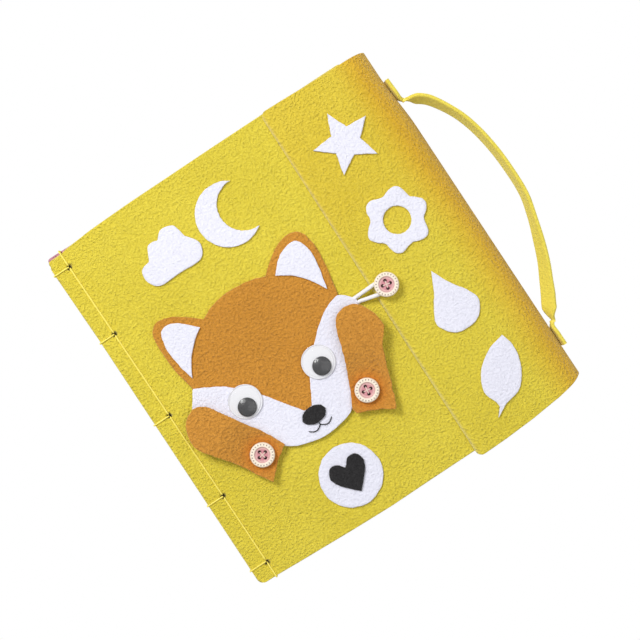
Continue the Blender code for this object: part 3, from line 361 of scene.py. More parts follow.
def sheet_rings(line, low_y, high_y, thickness, radii=(4.0, 4.0), step=1.5, fine_x=(), fine_y=()):
    """Rings of a sheet that follows a line of (x, z) places and runs along y.

    Each ring is the sheet's section at one y: out along one side and back along the other,
    half a thickness off the line, with rounded cut edges. The corners at either end of the
    line have a radius, or are cut square where it is 0. Also gives how close each point is to
    a cut edge, from 0 to 1.
    """
    line = np.asarray(line, float)
    run = run_along(line)
    length = run[-1]
    heading = np.unwrap(np.arctan2(np.gradient(line[:, 1], run), np.gradient(line[:, 0], run)))
    inside = spread((low_y + RIM, high_y - RIM), step, fine_y)
    corner = max(radii)
    bends = corner * (1 - np.cos(np.radians([20, 35, 50, 65, 78])))
    inside = np.unique(np.concatenate([inside, low_y + bends, high_y - bends]))
    inside = inside[(inside >= low_y + RIM) & (inside <= high_y - RIM)]
    ends = np.array(RIM_INSETS[:0:-1]) * RIM
    y = np.concatenate([low_y + ends, inside, high_y - ends[::-1]])
    fade = np.array(RIM_LEVELS[:0:-1])
    thin = np.concatenate([fade, np.ones(len(inside)), fade[::-1]])
    along = spread((0.0, 1.0), step / length, np.asarray(fine_x) / length, 2.0 / length, 0.4 / length)
    past = corner - np.minimum(y - low_y, high_y - y)
    cuts = []
    for radius in radii:
        beyond = np.clip(past - corner + radius, 0, radius)
        cuts.append(radius - np.sqrt(np.maximum(radius**2 - beyond**2, 0)))
    rims = [RIM if radius else 0.0 for radius in radii]
    start = cuts[0][:, None]
    end = length - cuts[1][:, None]
    inner = start + rims[0] + (end - rims[1] - start - rims[0]) * along[None, :]
    lead = start + rims[0] * np.array(RIM_INSETS[:0:-1])[None, :]
    tail = end - rims[1] * np.array(RIM_INSETS[1:])[None, :]
    way = np.concatenate([lead, inner, tail], axis=1)
    level = np.concatenate([fade, np.ones(len(along)), fade[::-1]])
    way = np.concatenate([way, way[:, ::-1]], axis=1)
    side = np.concatenate([-level, level[::-1]])[None, :] * thin[:, None] * thickness / 2
    turn = np.interp(way, run, heading)
    x = np.interp(way, run, line[:, 0]) - np.sin(turn) * side
    z = np.interp(way, run, line[:, 1]) + np.cos(turn) * side
    places = np.stack([x, np.broadcast_to(y[:, None], x.shape), z], axis=-1)
    edge = 1 - np.clip(np.abs(side) / (thickness / 2) * 2 - 1, 0, 1)
    return places, edge


def pits(x, y):
    """1 in the stab holes, falling to 0 round them."""
    deep = np.zeros(np.broadcast(x, y).shape)
    for hole in HOLE_PLACES:
        away = np.hypot(x - HOLE_LINE, y - hole)
        deep = np.maximum(deep, 1 / (1 + (away / 1.4) ** 10))
    return deep


def roughen(places, thickness_at, seed, amount=0.1):
    """Small lumps on a sheet's faces, and a slightly wavy cut along its edges."""
    x, y, z = places[..., 0], places[..., 1], places[..., 2]
    z += lumps(x, y, seed, 6.0) * amount * np.sign(z - thickness_at)
    x += lumps(x, y, seed + 1, 25.0) * 0.2
    y += lumps(x, y, seed + 2, 25.0) * 0.2
    return places


def drawn(places, tail, head, reach=60):
    """Moves a sheet's ends along y, each by distances at places along x, fading to none over
    the reach from the end, and lets the fore-edge bulge."""
    x, y = places[..., 0], places[..., 1]
    low = np.interp(x, *tail) * np.clip((reach - y) / reach, 0, 1)
    high = np.interp(x, *head) * np.clip((y - BOOK_HEIGHT + reach) / reach, 0, 1)
    y += low + high
    bulge = np.clip((x - 205) / 20, 0, 1)
    x += FORE_EDGE_BULGE * bulge * bulge * (3 - 2 * bulge)


def quarter(from_angle, to_angle, steps=16):
    """Places on the wrap's middle line between two angles in degrees."""
    turn = np.radians(np.linspace(from_angle, to_angle, steps))
    return np.stack([WRAP_FOLD + WRAP_RADIUS * np.cos(turn), WRAP_MIDDLE + WRAP_RADIUS * np.sin(turn)], axis=-1)


def straight(start, end, step=4.0):
    """Places on a straight line between two (x, z) places."""
    count = max(2, int(math.hypot(end[0] - start[0], end[1] - start[1]) / step))
    return np.linspace(start, end, count)


back_line = np.concatenate([straight((0, 1.2), (WRAP_FOLD - 1, 1.2)), quarter(-90, 0)])
back_places, back_edge = sheet_rings(
    back_line, 0.0, BOOK_HEIGHT, COVER_FELT, (4.0, 0.0), 2.5, [HOLE_LINE], HOLE_PLACES
)
drawn(back_places, ((0, 150, 190, 228), (-0.6, -2.0, -2.0, -1.0)), ((0, 60, 228), (0.8, 1.6, 1.6)))
back_cover = skin("back_cover_felt", [back_places], YELLOW_FELT, edge=back_edge)
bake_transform(back_cover)
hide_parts("back_cover", "fore_edge")


# Leaves: four sheets of felt in four colours, sewn in at the binding. Yellow strips fill the
# binding above each. Three leaves carry a plain felt shape.

LEAF_PITCH = 4.9
LEAF_END = 212.9
LEAF_HALF = 1.2
GREEN_FELT = felt("green_felt", (0.22, 0.42, 0.20), (0.8, 0.8, 0.8), (1.2, 1.2, 1.2))
RED_FELT = felt("red_felt", (0.55, 0.06, 0.05), (0.8, 0.8, 0.8), (1.2, 1.2, 1.2))
BLUE_FELT = felt("blue_felt", (0.20, 0.28, 0.42), (0.8, 0.8, 0.8), (1.2, 1.2, 1.2))
PINK_FELT = felt("pink_felt", (0.55, 0.24, 0.32), (0.8, 0.8, 0.8), (1.2, 1.2, 1.2))
LEAVES = [
    ("green", GREEN_FELT, "first_leaf"),
    ("red", RED_FELT, "second_leaf"),
    ("blue", BLUE_FELT, "third_leaf"),
    ("pink", PINK_FELT, "fourth_leaf"),
]
for i, (colour_name, material, body) in enumerate(LEAVES):
    low = 2.7 + LEAF_PITCH * i
    fold = 19.0 + 4.6 * (3 - i)
    middle = low + LEAF_HALF
    leaf_places, leaf_edge = sheet_rings(
        straight((0.3, middle), (LEAF_END, middle), 2.0), 2.0, BOOK_HEIGHT - 2.0, 2 * LEAF_HALF,
        (2.0, 4.0), 3.0, [fold + 2, fold + 5],
    )
    roughen(leaf_places, middle, 20 + i)
    drawn(leaf_places, ((0, 60), (-0.5, -1.0)), ((0, 20, 40, 90), (4.0, 3.6, 2.2, 1.6)))
    leaf = skin(f"leaf_{colour_name}", [leaf_places], material, edge=leaf_edge)
    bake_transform(leaf)
    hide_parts(f"leaf_{i + 1}", f"leaf_margin_{i + 1}")
    strip_middle = low + 2.7 + 0.95
    strip_places, strip_edge = sheet_rings(
        straight((0.3, strip_middle), (fold - 1.6, strip_middle), 2.0), 0.0, BOOK_HEIGHT, 1.9,
        (2.0, 2.0), 2.0,
    )
    strip = skin(f"spacer_strip_{i + 1}", [strip_places], YELLOW_FELT, "binding", edge=strip_edge)
    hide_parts(f"spacer_{i + 1}")


def swell(x, y):
    """How far the front of the book stands above its level: the soft stack swells slowly, and
    lies level at the sewn binding and towards the fold of the flap."""
    rise = 0.45 + 0.4 * lumps(x, y, 3, 90.0)
    near = np.clip((x - 12) / 30, 0, 1) * np.clip((214 - x) / 25, 0, 1)
    return rise * near * near * (3 - 2 * near)


def laid(flat, levels, low, thickness, seed, fuzz=0.07):
    """Felt over flat places, on the swell. Levels run from -1 on the underside to 1 on the
    top, which is fuzzy. Also gives how close each point is to a cut edge."""
    x, y = flat[..., 0], flat[..., 1]
    z = low + thickness * (levels + 1) / 2 + swell(x, y)
    z = z + np.maximum(levels, 0) * lumps(x, y, seed, 5.0) * fuzz
    return np.stack([x, y, z], axis=-1), 1 - np.clip(np.abs(levels) * 2 - 1, 0, 1)


def shape_rings(outline, middle, low, thickness, spacing=1.7):
    """Rings of a felt shape, from the middle of its underside out to its edge and back.

    Each ring is the outline shrunk towards the middle. The shape lies on the swell.
    """
    outline, middle = np.asarray(outline, float), np.asarray(middle, float)
    arms = outline - middle
    reach = np.hypot(arms[:, 0], arms[:, 1])[:, None]
    count = max(3, math.ceil(reach.max() / spacing))
    shares = np.linspace(0.04, 1, count)[:, None, None]
    inner = middle + arms * shares * (1 - RIM / reach)
    rim = [middle + arms * (1 - RIM * inset / reach) for inset in RIM_INSETS[1:]]
    places = np.concatenate([inner, rim, rim[::-1], inner[::-1]])
    half = [-1.0] * count + [-level for level in RIM_LEVELS[1:]]
    levels = np.array(half + [-level for level in half[::-1]])[:, None]
    levels = np.broadcast_to(levels, places.shape[:2])
    return laid(places, levels, low, thickness, int(low * 100))


def ragged(outline, seed, amount=0.1):
    """An outline cut by hand: every point moved a little, each much as its neighbours are."""
    outline = np.asarray(outline, float)
    moves = np.random.default_rng(seed).normal(0, 1, outline.shape)
    moves = moves + np.roll(moves, 1, axis=0) + np.roll(moves, -1, axis=0)
    return outline + moves * amount / math.sqrt(3)


def add_shape(name, outline, middle, low, thickness, material, body, nodes):
    """A flat felt shape with rounded cut edges that rides on a body in place of CAD nodes."""
    seed = sum(map(ord, name))
    outline = ragged(outline, seed)
    places, edge = shape_rings(outline, middle, low, thickness)
    made = skin(name, [places], material, body, edge=edge)
    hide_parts(*nodes)
    return made


def round_outline(middle, radius, count=90):
    """Points round a circle."""
    turn = np.linspace(0, 2 * np.pi, count, endpoint=False)
    return np.stack([middle[0] + radius * np.cos(turn), middle[1] + radius * np.sin(turn)], axis=-1)


def straight_sided(corners, step=1.2):
    """Points along the sides of a polygon."""
    corners = np.asarray(corners, float)
    sides = []
    for a, b in zip(corners, np.roll(corners, -1, axis=0)):
        count = max(2, round(math.hypot(*(b - a)) / step))
        sides.append(np.linspace(a, b, count, endpoint=False))
    return np.concatenate(sides)


WHITE_FELT = felt("white_felt", (0.815, 0.812, 0.925), (0.92, 0.92, 0.92), (1.05, 1.05, 1.03), 0.45)
ORANGE_FELT = felt("orange_felt", (0.63, 0.275, 0.033), (0.8, 0.78, 0.7), (1.16, 1.18, 1.35))
TRIM_FELT = 1.2
PAGE_SHAPE_MIDDLE = np.array((100.0, 116.0))
PAGE_SHAPE_RADIUS = 26.0
PAGE_SHAPES = [
    ("triangle", 3, 1, YELLOW_FELT, "yellow_felt"),
    ("square", 4, 2, WHITE_FELT, "white_felt"),
    ("circle", 90, 3, ORANGE_FELT, "orange_felt"),
]
for shape, sides, i, material, slot in PAGE_SHAPES:
    outline = straight_sided(round_outline(PAGE_SHAPE_MIDDLE, PAGE_SHAPE_RADIUS, sides))
    low = 2.7 + LEAF_PITCH * i + 2 * LEAF_HALF + 0.15
    colour_name, _, body = LEAVES[i]
    add_shape(
        f"page_{shape}_felt", outline, PAGE_SHAPE_MIDDLE, low, TRIM_FELT, material, body,
        [f"page_{shape}"],
    )


# Front cover: one sheet of yellow felt with its sewn margin. It swells a little over the
# leaves and is pressed in along the stitching.

cover_places, cover_edge = sheet_rings(
    straight((0, STACK_TOP - 1.2), (LEAF_END, STACK_TOP - 1.2), 2.0), 0.0, BOOK_HEIGHT, COVER_FELT,
    (4.0, 4.0), 1.6, [HOLE_LINE], HOLE_PLACES,
)
x, y, z = cover_places[..., 0], cover_places[..., 1], cover_places[..., 2]
on_top = np.clip((z - STACK_TOP + 1.2) / 1.2, 0, 1)
# Painted shade: the stab holes are pressed in and painted nearly black, for the shade down in them.
cover_pit = pits(x, y) * on_top
z += swell(x, y) + lumps(x, y, 11, 6.0) * 0.09 * on_top - 2.0 * cover_pit
drawn(
    cover_places, ((0, 10, 30, 60, 90, 150), (-1.2, -1.4, -2.4, -3.6, -4.5, -4.4)),
    ((0, 6, 14, 30, 60, 120), (-2.4, -1.0, 0.5, 1.8, 2.6, 3.0)),
)
front_cover = skin("front_cover_felt", [cover_places], YELLOW_FELT, edge=cover_edge, pit=cover_pit)
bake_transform(front_cover)
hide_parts("front_cover", "front_cover_margin")


# Binding thread: one length of pale yellow twisted thread that runs down the stab holes,
# along the binding on both covers, and round the spine, head and tail.

THREAD_COLOUR = (0.96, 0.81, 0.14)
YELLOW_THREAD, thread_tree, thread_shader = painted("yellow_thread", THREAD_COLOUR, 0.75)
# Painted shade: the thread is painted nearly black where it runs down in the stab holes.
thread_shade = tinted(thread_tree, THREAD_COLOUR, "pit", (0.02, 0.01, 0.004))
thread_tree.links.new(thread_shade, thread_shader.inputs["Base Color"])
THREAD_RADIUS, THREAD_TWIST = 0.5, 2.4


def rounded_path(corners, radius, step, joined=True):
    """A path of close points through corners, which are rounded off by a blend of the
    straight ways into and out of each."""
    corners = np.asarray(corners, float)
    sides = np.roll(corners, -1, axis=0) - corners if joined else np.diff(corners, axis=0)
    path = []
    for a, side in zip(corners, sides):
        count = max(2, round(np.linalg.norm(side) / step))
        path.append(a + side * np.linspace(0, 1, count, endpoint=False)[:, None])
    path = np.concatenate(path + ([] if joined else [corners[-1:]]))
    reach = max(1, round(radius / step))
    weights = np.hanning(2 * reach + 3)[1:-1]
    weights /= weights.sum()
    if joined:
        padded = np.concatenate([path[-reach:], path, path[:reach]])
    else:
        padded = np.concatenate([path[:1]] * reach + [path] + [path[-1:]] * reach)
    return np.stack([np.convolve(padded[:, k], weights, "valid") for k in range(3)], axis=-1)


def tube_rings(path, radius, around=12, joined=False, twist=0.0, plies=2, depth=0.2):
    """Rings round a path. With a twist, the section has plies that wind round, one turn in
    each twist length, and stand out by the share depth of the radius."""
    path = np.asarray(path, float)
    if joined:
        ahead = np.roll(path, -1, axis=0) - np.roll(path, 1, axis=0)
    else:
        ahead = np.gradient(path, axis=0)
    ahead /= np.linalg.norm(ahead, axis=1)[:, None]
    run = np.concatenate([[0], np.linalg.norm(np.diff(path, axis=0), axis=1).cumsum()])
    flat = np.ptp(path, axis=0).argmin()
    across = np.zeros(3)
    across[flat] = 1.0
    up = np.cross(ahead, across)
    up /= np.linalg.norm(up, axis=1)[:, None]
    side = np.cross(ahead, up)
    turn = np.linspace(0, 2 * np.pi, around, endpoint=False)[None, :]
    swollen = np.full((len(path), around), float(radius))
    if twist:
        turns = max(1, round(run[-1] / twist)) / run[-1]
        phase = plies * (turn - 2 * np.pi * turns * run[:, None])
        swollen *= 1 - depth / 2 + depth / 2 * np.cos(phase)
    ring = np.cos(turn)[..., None] * up[:, None, :] + np.sin(turn)[..., None] * side[:, None, :]
    return path[:, None, :] + swollen[..., None] * ring


thread_top, thread_low, thread_out = STACK_TOP + 0.45, 0.75, -0.5
thread_tail, thread_head = -1.9, BOOK_HEIGHT + 1.5
long_corners = [
    (HOLE_LINE, thread_tail, thread_low), (HOLE_LINE, thread_tail, thread_top),
    (HOLE_LINE, thread_head, thread_top), (HOLE_LINE, thread_head, thread_low),
]
long_path = rounded_path(long_corners, 0.8, 0.35)
dips = sum(2.2 * np.exp(-(((long_path[:, 1] - hole) / 1.1) ** 2)) for hole in HOLE_PLACES)
long_path[:, 2] -= dips * (long_path[:, 2] > STACK_TOP)
thread_parts = [tube_rings(long_path, THREAD_RADIUS, joined=True, twist=THREAD_TWIST)]
for hole in HOLE_PLACES:
    loop_corners = [
        (thread_out, hole, thread_low), (thread_out, hole, thread_top),
        (HOLE_LINE - 0.5, hole, thread_top), (HOLE_LINE - 0.5, hole, thread_low),
    ]
    loop_path = rounded_path(loop_corners, 0.8, 0.35)
    thread_parts.append(tube_rings(loop_path, THREAD_RADIUS, joined=True, twist=THREAD_TWIST))
# Where the thread lies down in a stab hole, marked for its painted shade.
in_hole = []
for rings in thread_parts:
    deep = np.clip((STACK_TOP + 0.1 - rings[..., 2]) / 0.4, 0, 1)
    beside = np.abs(rings[..., 1][..., None] - np.array(HOLE_PLACES)).min(axis=-1) < 1.8
    in_hole.append((deep * beside * (rings[..., 0] > HOLE_LINE - 1.5) * (rings[..., 2] > 15)).ravel())
binding_thread = skin(
    "binding_thread_twist", thread_parts, YELLOW_THREAD, "binding", joined=True, pit=np.concatenate(in_hole)
)
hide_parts("binding_thread")


# Flap and the upper half of the wrap: the same yellow felt goes on over the fore-edge and
# folds over the front cover as a wide flap. It carries four white felt shapes.

FLAP_LEFT = 150.0
FLAP_MIDDLE_Z = 26.2
FLAP_TOP = 27.4

flap_flat = straight((WRAP_FOLD - 1, FLAP_MIDDLE_Z), (FLAP_LEFT, FLAP_MIDDLE_Z), 2.0)
flap_line = np.concatenate([quarter(0, 90), flap_flat])
flap_places, flap_edge = sheet_rings(flap_line, -FLAP_DROP, BOOK_HEIGHT, COVER_FELT, (0.0, 4.0), 1.6)
x, y, z = flap_places[..., 0], flap_places[..., 1], flap_places[..., 2]
outward = np.where(x > WRAP_FOLD, 0.0, np.clip((z - FLAP_MIDDLE_Z) / 1.2, 0, 1))
z += swell(x, y) + lumps(x, y, 12, 6.0) * 0.09 * outward
from_cut = x - FLAP_LEFT
pressed = np.clip(1 - from_cut / 3, 0, 1)
z -= pressed * (0.28 + 0.4 * (z - FLAP_MIDDLE_Z + 1.2))
# Painted highlight: a thin pale line along the flap's cut edge.
flap_edge = np.maximum(flap_edge, 0.7 * np.exp(-((from_cut / 0.5) ** 2)))
x += (0.4 + 3.4 * y / BOOK_HEIGHT) * np.clip((200 - x) / 50, 0, 1)
drawn(
    flap_places, ((150, 155, 170, 190, 210, 220, 228), (-5.8, -5.8, -5.4, -4.2, -2.2, -0.2, 2.0)),
    ((155, 170, 190, 228), (3.4, 3.0, 2.2, 1.6)),
)
# Painted shade: the flap is painted darker and more orange towards the fold, where the wrap turns away from the
# lamps, and a little towards the head.
flap_warm = np.clip((x - 202) / 22, 0, 1) ** 1.3
flap_warm += 0.25 * np.clip((y - 110) / 50, 0, 1)
flap = skin("flap_felt", [flap_places], YELLOW_FELT, edge=flap_edge, warm=np.clip(flap_warm, 0, 1))
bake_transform(flap)
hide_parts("flap")

FLAP_SHAPE_X = 187.5
FLAP_SHAPE_RADIUS = 20.2


def cubic(a, b, leave, arrive, steps):
    """Points on cubic curves, each from an a to its b with the slopes to leave and arrive by."""
    t = np.linspace(0, 1, steps, endpoint=False)[None, :, None]
    curve = (2 * t**3 - 3 * t**2 + 1) * a[:, None] + (t**3 - 2 * t**2 + t) * leave[:, None]
    curve = curve + (3 * t**2 - 2 * t**3) * b[:, None] + (t**3 - t**2) * arrive[:, None]
    return curve.reshape(-1, a.shape[1])


def smooth(shares, size, place, steps=8):
    """A closed outline through shares of a size, from its low left place.

    It runs as cubic curves with the slope of the neighbouring points. A share with a third
    number is a corner, where the slope is that of the next side alone.
    """
    points = np.array([share[:2] for share in shares]) * size + place
    corner = np.array([len(share) > 2 for share in shares])[:, None]
    after = np.roll(points, -1, axis=0)
    before = np.roll(points, 1, axis=0)
    beyond = np.roll(points, -2, axis=0)
    leave = np.where(corner, after - points, after - before) / 2
    arrive = np.where(np.roll(corner, -1, axis=0), after - points, beyond - points) / 2
    return cubic(points, after, leave, arrive, steps)


STAR_Y, FLOWER_Y, DROP_Y, LEAF_Y = 193.0, 137.0, 80.2, 25.0
DROP_SHARES = [
    (0, 1, 1), (0.28, 0.42), (0.62, -0.1), (0.72, -0.5), (0.42, -0.9),
    (0, -1), (-0.42, -0.9), (-0.72, -0.5), (-0.62, -0.1), (-0.28, 0.42),
]
LEAF_SHARES = [
    (0.72, 1, 1), (0.15, 0.85), (-0.42, 0.42), (-0.66, -0.15), (-0.5, -0.7), (-0.72, -1, 1),
    (-0.32, -0.78), (0.25, -0.62), (0.66, -0.1), (0.82, 0.5),
]
star_turn = np.pi / 2 + np.pi * np.arange(10) / 5
star_reach = np.where(np.arange(10) % 2, 0.45, 1.0) * FLAP_SHAPE_RADIUS
star_corners = np.stack(
    [FLAP_SHAPE_X + star_reach * np.cos(star_turn), STAR_Y + star_reach * np.sin(star_turn)], axis=-1
)
ON_FLAP = FLAP_TOP + 0.2
flap_outlines = [
    ("star", straight_sided(star_corners, 1.0), (FLAP_SHAPE_X, STAR_Y)),
    (
        "raindrop", smooth(DROP_SHARES, FLAP_SHAPE_RADIUS, (FLAP_SHAPE_X, DROP_Y)),
        (FLAP_SHAPE_X, DROP_Y - 4),
    ),
    (
        "leaf", smooth(LEAF_SHARES, FLAP_SHAPE_RADIUS, (FLAP_SHAPE_X, LEAF_Y)),
        (FLAP_SHAPE_X + 2, LEAF_Y),
    ),
]
for shape, outline, middle in flap_outlines:
    add_shape(
        f"{shape}_felt", outline, middle, ON_FLAP, TRIM_FELT, WHITE_FELT, "button_flap",
        [f"flap_{shape}"],
    )


def band_rings(inner, outer, low, thickness, spacing=1.5, fuzz=0.07):
    """Rings of a felt band between an inner and an outer outline with matching points.

    The rings run out along the underside, round the outer cut edge, back over the top and
    round the inner one, so the last joins the first. low gives the underside's height at
    points. The band lies on the swell. Also gives how close each point is to a cut edge.
    """
    inner, outer = np.asarray(inner, float), np.asarray(outer, float)
    arms = outer - inner
    reach = np.hypot(arms[:, 0], arms[:, 1])[:, None]
    count = max(3, math.ceil(reach.max() / spacing))
    rims = np.array(RIM_INSETS[1:])[:, None, None] * RIM / reach
    middle = RIM / reach + (1 - 2 * RIM / reach) * np.linspace(0, 1, count)[:, None, None]
    shares = np.concatenate([rims[::-1], middle, 1 - rims])
    fade = list(RIM_LEVELS[1:])
    level = np.array(fade[::-1] + [1.0] * count + fade)
    rows = np.concatenate([inner + arms * shares, (inner + arms * shares)[::-1]])
    levels = np.broadcast_to(np.concatenate([-level, level[::-1]])[:, None], rows.shape[:2])
    return laid(rows, levels, low(rows[..., 0], rows[..., 1]), thickness, 77, fuzz)


flower_turn = np.linspace(0, 2 * np.pi, 144, endpoint=False)
flower_reach = FLAP_SHAPE_RADIUS * (1 + 0.1 * (np.cos(6 * flower_turn) - 1))
flower_way = np.stack([np.cos(flower_turn), np.sin(flower_turn)], axis=-1)
flower_middle = np.array((FLAP_SHAPE_X, FLOWER_Y))
FLOWER_HOLE = 8.5
flower_outline = flower_middle + flower_way * flower_reach[:, None]
flower_places, flower_edge = band_rings(
    ragged(flower_middle + flower_way * FLOWER_HOLE, 5, 0.06), ragged(flower_outline, 6),
    lambda x, y: ON_FLAP + 0 * x, TRIM_FELT,
)
flower = skin("flower_felt", [flower_places], WHITE_FELT, "button_flap", joined=True, edge=flower_edge)
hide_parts("flap_flower")


# Carrying strap: a strip of the same felt, standing on its edge. Two tabs are sewn to the
# wrap and the strap runs out from them in a wide bow, laced to them with yellow thread.

STRAP_PATH_SHARES = [
    (0.20, 0.992), (0.33, 0.977), (0.54, 0.937), (0.79, 0.847), (0.93, 0.757), (1.01, 0.65),
    (1.03, 0.54), (1.01, 0.463), (0.94, 0.40), (0.81, 0.3125), (0.65, 0.2224), (0.48, 0.15),
    (0.38, 0.108), (0.29, 0.075), (0.225, 0.042), (0.205, 0.016),
]


def smooth_line(points, steps):
    """An open path of close points through a few, as cubic curves."""
    points = np.asarray(points, float)
    points = np.concatenate([2 * points[:1] - points[1:2], points, 2 * points[-1:] - points[-2:-1]])
    a, b = points[1:-2], points[2:-1]
    leave, arrive = (b - points[:-3]) / 2, (points[3:] - a) / 2
    return np.concatenate([cubic(a, b, leave, arrive, steps), points[-2:-1]])


# Painted light: the strap's felt is the cover's yellow felt painted lighter, for light its upright faces do not
# get from the lamps.
STRAP_FELT_PAINTED_LIGHTER = felt("strap_felt", (0.81, 0.68, 0.095), (0.94, 0.93, 0.85), (1.04, 1.04, 1.1), 0.35)
STRAP_ROUNDING = 1.0


def strap_rings(path, lean, taper, thickness=2.4, width=10.0, tip=1.5):
    """Rings of a strap that stands on edge along a level path of (x, y) places.

    lean is how far its upper edge lies outside its lower one, at each point. taper is the
    length over which it narrows to its tip at its first and last end, or 0 where it doesn't.
    """
    ahead = np.gradient(path, axis=0)
    ahead /= np.hypot(ahead[:, 0], ahead[:, 1])[:, None]
    out = np.stack([-ahead[:, 1], ahead[:, 0], 0 * ahead[:, 0]], axis=-1)
    out *= np.sign(out[len(out) // 2, 0])
    run = run_along(path)
    share = np.ones(len(path))
    for length, way in zip(taper, (run, run[-1] - run)):
        if length:
            share = np.minimum(share, np.sin(np.clip(way / length, 0, 1) * np.pi / 2))
    height = tip + (width - tip) * share
    tilt = np.arcsin(np.clip(lean * share / width, -0.9, 0.9))[:, None]
    up = np.array((0.0, 0.0, 1.0)) * np.cos(tilt) + out * np.sin(tilt)
    across = out * np.cos(tilt) - np.array((0.0, 0.0, 1.0)) * np.sin(tilt)
    bend = np.radians([0, 25, 50, 75])
    inset = np.minimum(STRAP_ROUNDING * 2 / height, 0.9)[:, None]
    rounded = -1 + inset * (1 - np.cos(bend))
    stand = np.concatenate([rounded, (1 - inset) * np.linspace(-1, 1, 7), -rounded[:, ::-1]], axis=1)
    side = 1 - STRAP_ROUNDING * 2 / thickness * (1 - np.sin(bend))
    level = np.concatenate([side, np.ones(7), side[::-1]])
    stand = np.concatenate([stand, stand[:, ::-1]], axis=1)
    level = np.concatenate([-level, level[::-1]])
    middle = np.concatenate([path, np.full((len(path), 1), WRAP_MIDDLE)], axis=1)
    places = middle[:, None, :] + up[:, None, :] * (stand * height[:, None] / 2)[..., None]
    places = places + across[:, None, :] * (level * thickness / 2)[None, :, None]
    return places


STRAP_TAIL_Y, STRAP_SPAN = 31.0, 166.4
strap_points = [(228 + 34 * x, STRAP_TAIL_Y + STRAP_SPAN * y) for x, y in STRAP_PATH_SHARES]
strap_path = smooth_line(strap_points, 12)
LEAN_PLACES = [34, 42, 50, 56, 68, 80, 92, 104, 116, 140, 176, 196]
LEANS = [5.0, 7.6, 7.2, 6.4, 5.1, 4.2, 2.7, 2.4, 2.1, 2.3, 2.7, 4.2]
strap_lean = np.interp(strap_path[:, 1], LEAN_PLACES, LEANS)
strap_places = strap_rings(strap_path, strap_lean, (7.0, 9.0))
strap = skin("strap_felt", [strap_places], STRAP_FELT_PAINTED_LIGHTER, "carrying_strap")
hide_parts("strap")

TAB_SEAT_X = 231.7
HINGE_X, LACE_RADIUS, LACE_TURNS = 234.0, 1.5, 3
TABS = [("head", strap_points[0], 1, 16.0), ("tail", strap_points[-1], -1, 15.4)]
for end_name, end, away, tab_reach in TABS:
    tip_x = end[0] - 0.9
    outer = end[1] + away * tab_reach
    route = [
        (TAB_SEAT_X, outer), (TAB_SEAT_X, outer - away * 9.0),
        (TAB_SEAT_X + (tip_x - TAB_SEAT_X) / 4, end[1] + away * 2.4), (tip_x, end[1]),
    ]
    tab_path = smooth_line(route, 12)
    tab_rings = strap_rings(tab_path, 0 * tab_path[:, 0] + 1.6, (0, 9.0))
    tab = skin(f"strap_tab_{end_name}_felt", [tab_rings], STRAP_FELT_PAINTED_LIGHTER, "wrap")
    lace_turn = np.linspace(0, 2 * np.pi * LACE_TURNS, 24 * LACE_TURNS + 1)
    lace_run = np.linspace(-0.75, 0.75, len(lace_turn))
    lace_way = np.stack([np.cos(lace_turn), lace_run, np.sin(lace_turn)], axis=-1)
    lace_path = (HINGE_X, end[1], WRAP_MIDDLE) + lace_way * (LACE_RADIUS, 1, LACE_RADIUS)
    lace = skin(f"strap_lace_{end_name}", [tube_rings(lace_path, 0.36, 10)], YELLOW_THREAD, "wrap")
    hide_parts(f"strap_tab_{end_name}")


# Fox head: a cut-out of orange felt on the cover, with white felt inside the ears, a wide
# white muzzle that spreads over the cheeks, a black nose and a mouth stitched in black.

ON_COVER = STACK_TOP + 0.2
ON_HEAD = ON_COVER + 1.4
ON_MUZZLE = ON_HEAD + 1.4
HEAD_SHARES = [
    (0.032, 0.574), (0.005, 0.722), (0, 0.87), (0.014, 0.95), (0.063, 0.993), (0.143, 0.976),
    (0.214, 0.926), (0.286, 0.866, 1), (0.375, 0.903), (0.5, 0.917), (0.607, 0.903),
    (0.688, 0.875, 1), (0.786, 0.954), (0.857, 0.991), (0.923, 1), (0.973, 0.972), (0.996, 0.907),
    (1, 0.815), (0.982, 0.685), (0.961, 0.574), (0.92, 0.407), (0.821, 0.222), (0.688, 0.074),
    (0.5, 0), (0.304, 0.074), (0.17, 0.222), (0.071, 0.407),
]
LEFT_EAR_SHARES = [
    (0.142, 0, 1), (0.042, 0.303), (0, 0.617), (0.05, 0.846), (0.142, 0.96), (0.308, 1),
    (0.533, 0.954), (0.767, 0.817), (0.992, 0.657, 1), (0.683, 0.503), (0.392, 0.286),
]
RIGHT_EAR_SHARES = [
    (0, 0.676, 1), (0.219, 0.852), (0.414, 0.949), (0.668, 1), (0.844, 0.977), (0.961, 0.835),
    (1, 0.636), (0.945, 0.324), (0.836, 0, 1), (0.609, 0.284), (0.336, 0.506),
]
MUZZLE_SHARES = [
    (0.057, 1, 1), (0.127, 0.938), (0.211, 0.842), (0.329, 0.628), (0.405, 0.442),
    (0.47, 0.29, 1), (0.515, 0.29, 1), (0.583, 0.509), (0.625, 0.625), (0.701, 0.747),
    (0.769, 0.857), (0.845, 0.946), (0.929, 0.991, 1), (0.963, 0.946), (0.993, 0.881),
    (1, 0.844, 1), (0.929, 0.643), (0.828, 0.375), (0.726, 0.167), (0.672, 0.068),
    (0.6, 0.021), (0.498, 0), (0.397, 0.033), (0.296, 0.113), (0.194, 0.315), (0.101, 0.583),
    (0.042, 0.747), (0, 0.851, 1),
]
add_shape(
    "fox_head_felt", smooth(HEAD_SHARES, (112, 108), (26, 58)), (82, 112), ON_COVER, TRIM_FELT,
    ORANGE_FELT, "cover", ["fox_head"],
)
add_shape(
    "left_ear_felt", smooth(LEFT_EAR_SHARES, (24, 35), (29.6, 125.4)), (38.5, 147), ON_HEAD,
    TRIM_FELT, WHITE_FELT, "cover", ["left_inner_ear"],
)
add_shape(
    "right_ear_felt", smooth(RIGHT_EAR_SHARES, (25.6, 35.2), (108.4, 125.6)), (125.5, 149), ON_HEAD,
    TRIM_FELT, WHITE_FELT, "cover", ["right_inner_ear"],
)


